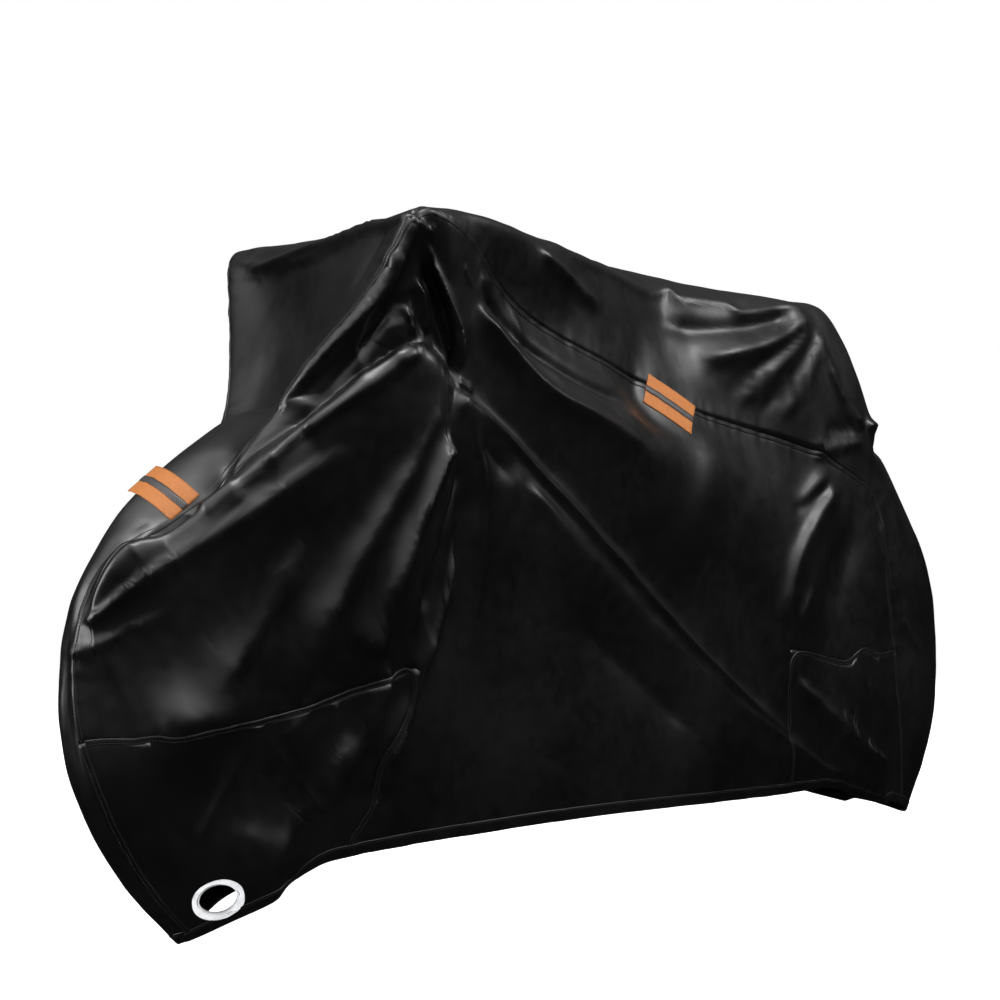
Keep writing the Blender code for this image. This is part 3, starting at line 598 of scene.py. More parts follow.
addCrease("pleat c", 0.0070, (0.004, 0.005), 0.0, (0.03, 0.03), [
    (-0.790, -0.092), (-0.768, -0.140), (-0.752, -0.172), (-0.744, -0.200)])
addCrease("pleat e", 0.0090, (0.005, 0.006), 0.2, (0.03, 0.02), [
    (-0.806, -0.100), (-0.792, -0.122), (-0.782, -0.148), (-0.774, -0.172)])
addCrease("pleat f", 0.0060, (0.004, 0.005), 0.0, (0.02, 0.02), [
    (-0.820, -0.136), (-0.810, -0.152), (-0.802, -0.168), (-0.794, -0.182)])
addCrease("pleat f, gap", -0.0030, (0.004, 0.003), 0.0, (0.01, 0.02), [
    (-0.810, -0.116), (-0.782, -0.175)])
addCrease("knot", 0.0040, (0.005, 0.005), 0.0, (0.01, 0.01), [
    (-0.726, -0.227), (-0.716, -0.230), (-0.688, -0.239)])

# the swell that runs back from the bar under the top seam
addCrease("bulge", 0.0170, (0.008, 0.020), -0.3, (0.05, 0.24), [
    (-0.700, -0.122), (-0.683, -0.136), (-0.638, -0.176), (-0.594, -0.210), (-0.549, -0.233),
    (-0.501, -0.246), (-0.418, -0.270), (-0.340, -0.296), (-0.280, -0.310)])
addCrease("above the bulge", -0.0130, (0.008, 0.020), 0.0, (0.04, 0.08), [
    (-0.690, -0.096), (-0.650, -0.126), (-0.600, -0.158), (-0.540, -0.182), (-0.470, -0.204),
    (-0.400, -0.216), (-0.340, -0.232)])
addCrease("wrinkle 1", 0.0026, (0.005, 0.006), 0.0, (0.01, 0.02), [
    (-0.731, -0.076), (-0.704, -0.105)])
addCrease("wrinkle 2", 0.0026, (0.005, 0.006), 0.0, (0.01, 0.02), [
    (-0.695, -0.087), (-0.650, -0.089)])
addCrease("wrinkle 3", 0.0030, (0.005, 0.007), 0.0, (0.01, 0.02), [
    (-0.621, -0.106), (-0.602, -0.137), (-0.597, -0.174)])
addCrease("top streak", 0.0080, (0.008, 0.012), -0.2, (0.03, 0.05), [
    (-0.560, -0.020), (-0.513, -0.040), (-0.450, -0.062), (-0.389, -0.082)])
addCrease("top ridge", 0.0060, (0.012, 0.009), 0.0, (0.05, 0.05), [
    (-0.554, -0.167), (-0.461, -0.133), (-0.345, -0.089), (-0.208, -0.049), (-0.173, -0.058),
    (-0.086, -0.060), (-0.040, -0.069), (0.071, -0.054), (0.151, -0.044)], look="above")

# the long slanting ledge of the near side and the soft folds round it
addCrease("ledge", 0.0150, (0.015, 0.007), -0.15, (0.02, 0.30), [
    (-0.736, -0.250), (-0.699, -0.265), (-0.649, -0.287), (-0.603, -0.314), (-0.556, -0.347),
    (-0.491, -0.392), (-0.440, -0.432), (-0.389, -0.466), (-0.344, -0.502), (-0.205, -0.601),
    (-0.126, -0.647), (-0.023, -0.700), (0.039, -0.732), (0.058, -0.755)])
addCrease("ledge, hollow", -0.0065, (0.014, 0.018), 0.0, (0.03, 0.05), [
    (-0.691, -0.300), (-0.649, -0.329), (-0.605, -0.363)])
addCrease("ledge, second", 0.0080, (0.010, 0.013), -0.3, (0.04, 0.10), [
    (-0.595, -0.352), (-0.553, -0.389), (-0.465, -0.459)])
addCrease("low hollow", -0.0060, (0.015, 0.015), 0.0, (0.10, 0.12), [
    (-0.489, -0.537), (-0.342, -0.631), (-0.188, -0.732)])

# hanging pleats under the bar
addCrease("neck", 0.0035, (0.006, 0.006), 0.0, (0.01, 0.03), [
    (-0.759, -0.272), (-0.778, -0.311), (-0.793, -0.343)])
addCrease("hanging band", 0.0150, (0.012, 0.026), -0.35, (0.08, 0.12), [
    (-0.776, -0.310), (-0.806, -0.375), (-0.838, -0.440), (-0.868, -0.505), (-0.896, -0.570),
    (-0.918, -0.634), (-0.930, -0.660)])
addCrease("hanging pleat 1", 0.0190, (0.006, 0.016), -0.45, (0.04, 0.010), [
    (-0.736, -0.300), (-0.758, -0.363), (-0.776, -0.416), (-0.796, -0.475), (-0.812, -0.533),
    (-0.822, -0.592)])
addCrease("hanging pleat 1, trough", -0.0100, (0.006, 0.009), 0.0, (0.04, 0.03), [
    (-0.712, -0.330), (-0.730, -0.400), (-0.744, -0.470), (-0.756, -0.535), (-0.764, -0.600)])
addCrease("hanging pleat 2", 0.0120, (0.006, 0.014), -0.3, (0.05, 0.10), [
    (-0.708, -0.440), (-0.723, -0.532), (-0.743, -0.599), (-0.752, -0.665), (-0.768, -0.731),
    (-0.779, -0.785)])
addCrease("hanging pleat 3", 0.0060, (0.007, 0.018), 0.0, (0.05, 0.10), [
    (-0.700, -0.280), (-0.672, -0.340), (-0.664, -0.430), (-0.668, -0.540), (-0.684, -0.650)])
addCrease("low band", 0.0120, (0.012, 0.018), -0.25, (0.04, 0.05), [
    (-0.786, -0.600), (-0.812, -0.690), (-0.836, -0.735), (-0.862, -0.785), (-0.892, -0.840)])

# folds over the front wheel
addCrease("wheel band", 0.0110, (0.014, 0.024), -0.4, (0.08, 0.06), [
    (-0.915, -0.430), (-0.940, -0.490), (-0.968, -0.552), (-1.000, -0.606), (-1.030, -0.650)])
addCrease("wheel swell", 0.0360, (0.070, 0.055), 0.0, (0.08, 0.08), [
    (-0.950, -0.650), (-1.010, -0.664), (-1.070, -0.678), (-1.130, -0.690)])
addCrease("nose ridge 1", 0.0100, (0.006, 0.012), -0.35, (0.03, 0.16), [
    (-1.179, -0.554), (-1.125, -0.499), (-1.054, -0.449), (-0.992, -0.404), (-0.921, -0.351),
    (-0.850, -0.312)])
addCrease("nose ridge 2", 0.0050, (0.006, 0.008), -0.35, (0.02, 0.05), [
    (-1.187, -0.590), (-1.160, -0.577), (-1.125, -0.557), (-1.080, -0.530)])
addCrease("corner dent 1", 0.0040, (0.006, 0.008), -0.2, (0.04, 0.05), [
    (-0.880, -0.630), (-0.905, -0.670), (-0.939, -0.720), (-0.970, -0.770)])
addCrease("corner band", 0.0080, (0.010, 0.014), -0.2, (0.04, 0.05), [
    (-0.830, -0.690), (-0.856, -0.735), (-0.884, -0.785), (-0.912, -0.840), (-0.930, -0.880)])
addCrease("corner hollow", -0.0060, (0.008, 0.010), 0.0, (0.04, 0.04), [
    (-0.848, -0.745), (-0.872, -0.785), (-0.896, -0.830), (-0.920, -0.868)])
addCrease("corner dent 2", 0.0045, (0.006, 0.009), 0.0, (0.06, 0.05), [
    (-0.978, -0.700), (-1.000, -0.750), (-1.022, -0.800), (-1.046, -0.850)])

# folds over the rear wheel
addCrease("rear facet", 0.0070, (0.024, 0.016), -0.3, (0.05, 0.05), [
    (0.040, -0.370), (0.080, -0.335), (0.120, -0.305), (0.168, -0.290)])
addCrease("rear hollow", -0.0040, (0.008, 0.010), 0.0, (0.02, 0.03), [
    (0.148, -0.318), (0.031, -0.366)])
addCrease("rear edge", 0.0100, (0.018, 0.020), 0.4, (0.05, 0.08), [
    (0.177, -0.302), (0.093, -0.374), (0.033, -0.443), (0.008, -0.520), (0.000, -0.570)])
addCrease("rear thin fold", 0.0032, (0.005, 0.004), -0.2, (0.02, 0.02), [
    (0.083, -0.486), (0.035, -0.551)])
addCrease("rear crease", 0.0060, (0.007, 0.007), 0.3, (0.03, 0.05), [
    (0.306, -0.344), (0.323, -0.434), (0.355, -0.525), (0.426, -0.601)])
addCrease("rear slant", 0.0110, (0.008, 0.009), -0.3, (0.04, 0.05), [
    (0.038, -0.632), (0.098, -0.677), (0.164, -0.713), (0.237, -0.756), (0.319, -0.790)])
addCrease("rear dent", 0.0030, (0.005, 0.005), 0.0, (0.01, 0.02), [
    (0.239, -0.643), (0.273, -0.668)])

# fan of folds below the saddle's tail
addCrease("upper band", 0.0100, (0.012, 0.018), 0.2, (0.07, 0.04), [
    (-0.176, -0.130), (-0.118, -0.122), (-0.019, -0.095), (0.071, -0.060), (0.140, -0.020)])
addCrease("tail shade", -0.0130, (0.026, 0.018), 0.0, (0.16, 0.05), [
    (-0.300, -0.082), (-0.215, -0.078), (-0.150, -0.078), (-0.060, -0.066), (0.030, -0.044),
    (0.090, -0.026)])
addCrease("fan hollow 1", -0.0048, (0.014, 0.010), 0.0, (0.07, 0.04), [
    (-0.116, -0.188), (-0.044, -0.140), (0.058, -0.078), (0.120, -0.040)])
addCrease("fan 1", 0.0036, (0.010, 0.007), 0.2, (0.07, 0.03), [
    (-0.086, -0.202), (-0.010, -0.152), (0.075, -0.090), (0.134, -0.046)])
addCrease("fan hollow 2", -0.0036, (0.012, 0.007), 0.0, (0.06, 0.03), [
    (-0.040, -0.216), (0.030, -0.164), (0.094, -0.108), (0.144, -0.052)])
addCrease("fan 2", 0.0036, (0.012, 0.007), 0.2, (0.06, 0.03), [
    (0.014, -0.221), (0.071, -0.174), (0.123, -0.118), (0.158, -0.060)])
addCrease("fan edge", 0.0090, (0.007, 0.007), -0.3, (0.02, 0.03), [
    (0.146, -0.045), (0.157, -0.070), (0.186, -0.129), (0.225, -0.177), (0.272, -0.204)])
addCrease("wedge hollow", -0.0045, (0.010, 0.008), 0.0, (0.02, 0.02), [
    (0.148, -0.217), (0.223, -0.216), (0.265, -0.217)])
addCrease("wedge", 0.0060, (0.008, 0.009), 0.0, (0.03, 0.02), [
    (0.104, -0.266), (0.192, -0.242), (0.264, -0.226)])
addCrease("tail fold", 0.0110, (0.012, 0.012), 0.0, (0.02, 0.02), [
    (-0.056, -0.200), (0.000, -0.192), (0.056, -0.200)], look="rear")
addCrease("tail hollow", -0.0090, (0.014, 0.014), 0.0, (0.02, 0.02), [
    (-0.054, -0.238), (0.000, -0.232), (0.054, -0.238)], look="rear")

# over the bar and down the front
addCrease("bar line", 0.0040, (0.007, 0.007), 0.0, (0.03, 0.03), [
    (0.225, -0.008), (0.155, -0.022), (0.035, -0.042), (-0.071, -0.038),
    (-0.200, -0.026)], look="front")
addCrease("bar line, small", 0.0025, (0.005, 0.005), 0.0, (0.02, 0.02), [
    (0.235, -0.030), (0.181, -0.038), (0.137, -0.046)], look="front")

# the far side, which hangs much like the near one
addCrease("far shoulder", 0.0060, (0.008, 0.011), 0.4, (0.03, 0.08), [
    (-0.780, -0.200), (-0.840, -0.242), (-0.930, -0.300), (-1.020, -0.370),
    (-1.120, -0.450)], look="far", lap=0.002)
addCrease("far ledge", 0.0090, (0.012, 0.006), 0.4, (0.04, 0.25), [
    (-0.700, -0.270), (-0.610, -0.322), (-0.500, -0.400), (-0.370, -0.492), (-0.230, -0.580),
    (-0.060, -0.672)], look="far")
addCrease("far bulge", 0.0080, (0.010, 0.020), -0.2, (0.05, 0.15), [
    (-0.680, -0.140), (-0.590, -0.190), (-0.480, -0.226), (-0.340, -0.250),
    (-0.200, -0.262)], look="far")
addCrease("far hanging band", 0.0075, (0.013, 0.018), 0.2, (0.05, 0.08), [
    (-0.740, -0.330), (-0.772, -0.420), (-0.800, -0.520), (-0.840, -0.620)], look="far")
addCrease("far pleat 1", 0.0055, (0.006, 0.006), 0.3, (0.03, 0.05), [
    (-0.700, -0.330), (-0.716, -0.420), (-0.722, -0.520), (-0.742, -0.640),
    (-0.760, -0.760)], look="far")
addCrease("far pleat 2", -0.0050, (0.007, 0.007), 0.0, (0.03, 0.05), [
    (-0.660, -0.360), (-0.684, -0.480), (-0.700, -0.610), (-0.716, -0.740)], look="far")
addCrease("far slant", 0.0060, (0.008, 0.009), 0.3, (0.04, 0.05), [
    (-0.420, -0.560), (-0.280, -0.640), (-0.120, -0.716), (0.020, -0.770)], look="far")
addCrease("far rear edge", 0.0080, (0.011, 0.013), 0.4, (0.03, 0.05), [
    (0.200, -0.300), (0.120, -0.400), (0.060, -0.500), (0.020, -0.600)], look="far", lap=0.001)
addCrease("far rear crease", 0.0036, (0.006, 0.006), 0.3, (0.03, 0.05), [
    (0.290, -0.340), (0.320, -0.450), (0.372, -0.560)], look="far")
addCrease("far rear slant", 0.0060, (0.008, 0.008), 0.3, (0.04, 0.05), [
    (0.060, -0.660), (0.170, -0.722), (0.290, -0.784)], look="far")
addCrease("far upper band", 0.0065, (0.010, 0.014), 0.0, (0.05, 0.05), [
    (-0.180, -0.150), (-0.060, -0.112), (0.060, -0.060), (0.140, -0.020)], look="far")
addCrease("far fan", 0.0050, (0.008, 0.008), 0.0, (0.03, 0.03), [
    (-0.080, -0.210), (0.010, -0.160), (0.080, -0.100), (0.130, -0.055)], look="far")
addCrease("far wheel band", 0.0080, (0.026, 0.024), 0.2, (0.03, 0.06), [
    (-0.900, -0.480), (-0.950, -0.560), (-1.010, -0.640)], look="far")

# a kink of the skin by the peak that is eased before the creases go in
peak = {"spot": (-0.975, -0.163, -0.345), "reach": 0.060, "rounds": 30}
# size, depth and seed of the unevenness under and over the creases
rumples = {"under": (0.16, 0.0030, 3.7), "over": (0.045, 0.0010, 9.1)}


def easePeak(bm):
    spot = Vector(peak["spot"])
    near = [vert for vert in bm.verts if (vert.co - spot).length < peak["reach"]]
    for _ in range(peak["rounds"]):
        bmesh.ops.smooth_vert(bm, verts=near, factor=0.5, use_axis_x=True, use_axis_y=True, use_axis_z=True)
    bm.normal_update()


easePeak(cover)
rumple(cover, *rumples["under"])
pressCreases(cover)
rumple(cover, *rumples["over"])
print("creases pressed:", len(creases))

# half width and rise of a felled seam, how far its edges sink in and its cloth's thickness; reach: how
# far off the cloth may lie; step along every line; fewest places of a seam; passes that smooth the line
# of a long seam, a corner's seam and the hem; pitch, rows and half sizes of the stitches
seams = {"half": 0.0042, "rise": 0.0006, "sunk": 0.0002, "thick": 0.0008, "reach": 0.02, "step": 0.006,
         "fewest": 6, "longPasses": 10, "shortPasses": 70, "hemPasses": 6, "stitch": 0.0046,
         "rowOffset": 0.0024, "stitchSize": (0.0019, 0.00042, 0.00036)}


# edges put in order, as lists of corners
def chained(edges):
    links = {}
    for edge in edges:
        for vert in edge.verts:
            links.setdefault(vert, []).append(edge)
    unused = set(edges)
    lines = []
    ends = [vert for vert, found in links.items() if len(found) != 2]
    for start in ends + list(links):
        for first in links[start]:
            if first not in unused:
                continue
            unused.discard(first)
            line = [start, first.other_vert(start)]
            while len(links[line[-1]]) == 2 or line[-1] is start:
                onward = [edge for edge in links[line[-1]] if edge in unused]
                if not onward or line[-1] in ends:
                    break
                unused.discard(onward[0])
                line.append(onward[0].other_vert(line[-1]))
            lines.append(line)
    return lines


# the line resampled at an even step, with its points smoothed a little
def evenly(points, normals, step, passes):
    pts = np.array([p[:] for p in points])
    ups = np.array([n[:] for n in normals])
    for _ in range(passes):
        inside = (pts[:-2] + 2 * pts[1:-1] + pts[2:]) / 4
        pts[1:-1] = inside
        ups[1:-1] = (ups[:-2] + 2 * ups[1:-1] + ups[2:]) / 4
    steps = np.linalg.norm(np.diff(pts, axis=0), axis=1)
    place = np.concatenate([[0], np.cumsum(steps)])
    count = max(int(place[-1] / step), 3)
    at = np.linspace(0, place[-1], count + 1)
    even = np.stack([np.interp(at, place, pts[:, k]) for k in range(3)], axis=1)
    up = np.stack([np.interp(at, place, ups[:, k]) for k in range(3)], axis=1)
    up /= np.linalg.norm(up, axis=1)[:, None]
    return even, up


# lines between panels, keyed by the two panels
def seamLines(bm):
    pairs = {}
    for edge in bm.edges:
        if len(edge.link_faces) == 2:
            a, b = sorted(face.material_index for face in edge.link_faces)
            if a != b:
                pairs.setdefault((a, b), []).append(edge)
    found = []
    for pair, edges in sorted(pairs.items()):
        for line in chained(edges):
            if len(line) > seams["fewest"]:
                places, ups = [vert.co for vert in line], [vert.normal for vert in line]
                passes = seams["shortPasses" if "corner" in panels[pair[1]] else "longPasses"]
                found.append((pair, *evenly(places, ups, seams["step"], passes)))
    return found


# the free edges: the hem first, because it is the longest, and the eyelet holes
def hemLines(bm):
    loops = chained([edge for edge in bm.edges if len(edge.link_faces) == 1])
    loops.sort(key=len, reverse=True)
    return [evenly([v.co for v in line], [v.normal for v in line], seams["step"], seams["hemPasses"])
            for line in loops]


# gathers across the seams and along the hem: rise, fade beside the line, reach, and two wave lengths
# with the share of the shorter one; apart: how far on in the noise each seam starts; sink: how deep a
# seam lies along its line; slack: least pull of the elastic, which swings over the length of swell
gathers = {"seamRise": 0.0016, "seamFade": 0.014, "seamReach": 0.05, "seamWaves": (0.020, 0.011),
           "seamShort": 0.5, "apart": 10.0, "sink": 0.0006, "sinkFade": 0.004,
           "hemRise": 0.0052, "hemFade": 0.035, "hemReach": 0.09, "hemWaves": (0.026, 0.012),
           "hemShort": 0.4, "slack": 0.35, "swing": 1.6, "swell": 0.25}


# a wave along a line, from its own row of the noise
def ripple(s, length, row):
    return noise.noise(Vector((s / length, row, 0)))


# small gathers that stand across the seams and the elastic hem
def puckerSeams(bm, lines, hemLine):
    points, normals = coordinates(bm)
    tree = KDTree(sum(len(line) for _, line, _ in lines))
    spots = []
    place = 0.0
    for _, line, _ in lines:
        place += gathers["apart"]
        for k, point in enumerate(line):
            tree.insert(point, len(spots))
            spots.append(place + k * seams["step"])
    tree.balance()
    hemTree = KDTree(len(hemLine))
    for k, point in enumerate(hemLine):
        hemTree.insert(point, k)
    hemTree.balance()
    seamLong, seamShort = gathers["seamWaves"]
    hemLong, hemShort = gathers["hemWaves"]
    slack = gathers["slack"]
    lift = np.zeros(len(points))
    for i, point in enumerate(points.tolist()):
        _, found, away = tree.find(point)
        if away < gathers["seamReach"]:
            s = spots[found]
            wave = ripple(s, seamLong, 0) + gathers["seamShort"] * ripple(s, seamShort, 5)
            lift[i] += gathers["seamRise"] * wave * math.exp(-away / gathers["seamFade"])
            lift[i] -= gathers["sink"] * math.exp(-(away / gathers["sinkFade"]) ** 2)
        _, found, away = hemTree.find(point)
        if away < gathers["hemReach"]:
            s = found * seams["step"]
            tight = slack + (1 - slack) * abs(ripple(s, gathers["swell"], 7)) * gathers["swing"]
            wave = ripple(s, hemLong, 3) + gathers["hemShort"] * ripple(s, hemShort, 9)
            lift[i] += gathers["hemRise"] * tight * wave * math.exp(-(away / gathers["hemFade"]))
    moveTo(bm, points + normals * lift[:, None])


firstSeams = seamLines(cover)
firstHems = hemLines(cover)
print("seams", [(panels[a], panels[b], round(len(line) * seams["step"], 2))
                for (a, b), line, _ in firstSeams])
print("edges", [round(len(line) * seams["step"], 2) for line, _ in firstHems])
puckerSeams(cover, firstSeams, firstHems[0][0])
skinTree = BVHTree.FromBMesh(cover)


# the cloth nearest to a spot and the way it faces, or the spot itself where the cloth is too far off
def clothAt(spot, up):
    foot, normal, _, away = skinTree.find_nearest(spot)
    if away > seams["reach"]:
        foot, normal = spot, up
    return foot, -normal if normal.dot(up) < 0 else normal


# a grid whose corners are placed by their row and their column
def laidGrid(columns, rows, place):
    bm = bmesh.new()
    bmesh.ops.create_grid(bm, x_segments=columns - 1, y_segments=rows - 1, size=0.5)
    order = sorted(bm.verts, key=lambda v: (round(v.co.y, 5), round(v.co.x, 5)))
    for k, vert in enumerate(order):
        vert.co = place(*divmod(k, columns))
    return bm


# a strip that follows a line on the cloth, with a row for each offset and lift
def ribbon(line, ups, offsets, lifts):
    ways = np.gradient(line, axis=0)

    def place(row, i):
        up = Vector(ups[i])
        across = up.cross(Vector(ways[i]).normalized()).normalized()
        foot, normal = clothAt(Vector(line[i]) + across * offsets[row], up)
        return foot + (normal + up).normalized() * lifts[row]
    bm = laidGrid(len(line), len(offsets), place)
    bmesh.ops.recalc_face_normals(bm, faces=bm.faces)
    middle = bm.faces[:][len(bm.faces) // 2]
    _, up, _, _ = skinTree.find_nearest(middle.calc_center_median())
    if middle.normal.dot(up) < 0:
        bmesh.ops.reverse_faces(bm, faces=bm.faces)
    return meshFrom(bm, "strip")


# thickness inwards from the face that shows
def solidified(thickness):
    def add(piece):
        solid = piece.modifiers.new("thickness", "SOLIDIFY")
        solid.thickness = thickness
        solid.offset = -1.0
    return add


def joinMeshes(name, meshes):
    bm = bmesh.new()
    for mesh in meshes:
        bm.from_mesh(mesh)
        bpy.data.meshes.remove(mesh)
    return meshFrom(bm, name)


def stitchMesh():
    bm = bmesh.new()
    bmesh.ops.create_uvsphere(bm, u_segments=5, v_segments=3, radius=1.0)
    bmesh.ops.rotate(bm, verts=bm.verts, matrix=Matrix.Rotation(math.pi / 2, 3, "Y"))
    bmesh.ops.scale(bm, verts=bm.verts, vec=seams["stitchSize"])
    return meshFrom(bm, "stitch")


# stitches laid along a line of points
def stitchRow(line):
    curve = bpy.data.curves.new("row", "CURVE")
    curve.dimensions = "3D"
    spline = curve.splines.new("POLY")
    spline.points.add(len(line) - 1)
    for point, place in zip(spline.points, line):
        point.co = (*place, 1)
    path = bpy.data.objects.new("row", curve)
    scene.collection.objects.link(path)
    length = sum((b - a).length for a, b in zip(line, line[1:]))

    def add(helper):
        repeat = helper.modifiers.new("repeat", "ARRAY")
        repeat.use_relative_offset = False
        repeat.use_constant_offset = True
        repeat.constant_offset_displace = (seams["stitch"], 0, 0)
        repeat.count = max(int(length / seams["stitch"]), 1)
        bend = helper.modifiers.new("bend", "CURVE")
        bend.object = path
    mesh = applied(stitchMesh(), add)
    bpy.data.objects.remove(path)
    bpy.data.curves.remove(curve)
    return mesh


# a line of points at one side of a seam, lifted off the cloth
def lineBeside(line, ups, offset, lift):
    ways = np.gradient(line, axis=0)
    found = []
    for point, way, up in zip(line, ways, ups):
        up = Vector(up)
        across = up.cross(Vector(way)).normalized()
        foot, _ = clothAt(Vector(point) + across * offset, up)
        found.append(foot + up * lift)
    return found


# felled seams with two rows of top stitching
def sewSeams():
    lines = seamLines(cover)
    half, rise, sunk = seams["half"], seams["rise"], seams["sunk"]
    offsets = [-half, -half * 0.86, -half * 0.55, -half * 0.2, half * 0.2, half * 0.55, half * 0.86, half]
    lifts = [-sunk, rise * 0.9, rise * 0.72, rise * 1.15, rise * 1.15, rise * 0.72, rise * 0.9, -sunk]
    strips, rows = [], []
    for _, line, ups in lines:
        strips.append(ribbon(line, ups, offsets, lifts))
        for side in (-1, 1):
            rows.append(stitchRow(lineBeside(line, ups, side * seams["rowOffset"], rise * 1.05)))
    felled = applied(joinMeshes("felled_seams", strips), solidified(seams["thick"]))
    piece = newPiece("felled_seams", felled, clothFinish)
    stitches = newPiece("seam_stitches", joinMeshes("seam_stitches", rows), threadFinish)
    return piece, stitches


# probe: how far the cloth is felt for to tell which way it rises, and the most that it may be off;
# near: how far off the cloth may lie; merge: corners that fall together; stitchAt: place of the
# stitches over the depth
hem = {"depth": 0.016, "rise": 0.0009, "round": 0.0022, "thick": 0.0006, "probe": (0.01, 0.004),
       "near": 0.01, "merge": 0.0004, "stitchAt": 0.8, "stitchLift": 0.0003}


# the cloth's edge turned over twice and stitched, as a band round the opening
def turnHem(line, ups):
    ways = np.gradient(line, axis=0)
    probe, most = hem["probe"]
    sections = []
    for point, way, up in zip(line, ways, ups):
        way, up = Vector(way).normalized(), Vector(up)
        rising = up.cross(way).normalized()
        if skinTree.find_nearest(Vector(point) + rising * probe)[3] > most:
            rising = -rising
        sections.append((Vector(point), up, rising))
    inner = skin["cloth"] + hem["rise"]
    profile = [(hem["depth"], -inner - 0.0003), (hem["depth"] * 0.5, -inner), (0.002, -inner),
               (-hem["round"] * 0.5, -inner * 0.8), (-hem["round"], -skin["cloth"] * 0.5),
               (-hem["round"] * 0.6, hem["rise"] * 0.6), (0.001, hem["rise"]), (0.004, hem["rise"] * 0.9),
               (0.008, hem["rise"]), (hem["depth"] * 0.82, hem["rise"] * 0.65),
               (hem["depth"] * 0.95, hem["rise"]), (hem["depth"], -0.0001)]

    def place(row, i):
        point, up, rising = sections[i]
        reach, lift = profile[row]
        spot = point + rising * reach
        normal = up
        if reach > 0.002:                        # beyond the rounded edge it lies on the cloth
            foot, found, _, away = skinTree.find_nearest(spot)
            if away < hem["near"]:
                spot = foot
                normal = ((found if found.dot(up) > 0 else -found) + up).normalized()
        return spot + normal * lift
    bm = laidGrid(len(line), len(profile), place)
    bmesh.ops.remove_doubles(bm, verts=bm.verts, dist=hem["merge"])
    bmesh.ops.recalc_face_normals(bm, faces=bm.faces)
    band = applied(meshFrom(bm, "turned_hem"), solidified(hem["thick"]))
    piece = newPiece("turned_hem", band, clothFinish)
    stitchLine = []
    for point, up, rising in sections:
        foot, _, _, _ = skinTree.find_nearest(point + rising * hem["depth"] * hem["stitchAt"])
        stitchLine.append(foot + up * (hem["rise"] + hem["stitchLift"]))
    stitches = newPiece("hem_stitches", stitchRow(stitchLine), threadFinish)
    return piece, stitches


felledSeams, seamStitches = sewSeams()
turnedHem, hemStitches = turnHem(*hemLines(cover)[0])
print("seams sewn and hem turned")


# a tape, or the stripe along it, laid on the cloth with its own slight bow
def tapeSheet(name, tape, share, lift, waver):
    along = Vector(tape["along"]).normalized()
    out = Vector(tape["out"])
    out = (out - along * out.dot(along)).normalized()
    across = out.cross(along)
    probeStart, probeLength = tapeMake["probe"]
    lowest, highest = tapeMake["rideLimits"]
    bm = bmesh.new()
    rows = max(int(tapeMake["rows"] * share), tapeMake["fewestRows"])
    bmesh.ops.create_grid(bm, x_segments=tapeMake["cells"], y_segments=rows, size=0.5, calc_uvs=True)
    flat = bm.loops.layers.uv.new("flat")
    for face in bm.faces:
        for corner in face.loops:
            u, v = corner.vert.co.x, corner.vert.co.y
            corner[flat].uv = (u * tape["length"] * tapeMake["pattern"],
                               v * tape["height"] * share * tapeMake["pattern"])
    for vert in bm.verts:
        u, v = vert.co.x, vert.co.y
        a = u * tape["length"]
        b = v * tape["height"] * share + waver * noise.noise(Vector((u * tapeMake["waves"], 3, 1)))
        bow = tape["bow"] * (1 - (2 * u) ** 2)
        flatSpot = Vector(tape["middle"]) + along * a + across * b + out * bow
        foot = skinTree.ray_cast(flatSpot + out * probeStart, -out, probeLength)[0]
        height = out.dot(foot - flatSpot) if foot is not None else 0.0
        height = max(min(height, highest), lowest)
        vert.co = flatSpot + out * (height * tapeMake["ride"] + lift)
    bmesh.ops.recalc_face_normals(bm, faces=bm.faces)
    if bm.faces[:][0].normal.dot(out) < 0:
        bmesh.ops.reverse_faces(bm, faces=bm.faces)
    return meshFrom(bm, name)


def sewTape(name, tape):
    base = tapeSheet(name, tape, 1.0, tapeMake["lift"], 0.0)
    thickened = applied(base, solidified(tapeMake["thick"]))
    sheet = newPiece(name + "_sewn", thickened, orangeFinish)
    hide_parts(name)
    line = tapeSheet(name + "_strip", tape, tapeMake["stripShare"], tapeMake["stripLift"], tapeMake["wave"])
    thin = applied(line, solidified(tapeMake["stripThick"]))
    strip = newPiece(name + "_strip_sewn", thin, stripFinish)
    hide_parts(name + "_strip")
    return sheet, strip


tapePieces = {name: sewTape(name, tape) for name, tape in tapes.items()}
print("tapes sewn on")

# crown: steps over the outer flange and how round it is; lift and seat over the cloth; play in the hole
eyelet = {"centre": (-0.990, -0.055, -0.902), "normal": (-0.25, -0.84, -0.48), "bore": 0.0245,
          "rim": 0.0370, "hole": 0.0270, "flange": 0.0024, "oval": 0.90, "steps": 96, "cloth": 0.0018,
          "crown": 12, "round": 0.55, "lift": 0.0003, "seat": 0.0002, "play": 0.0005, "sharp": 50}


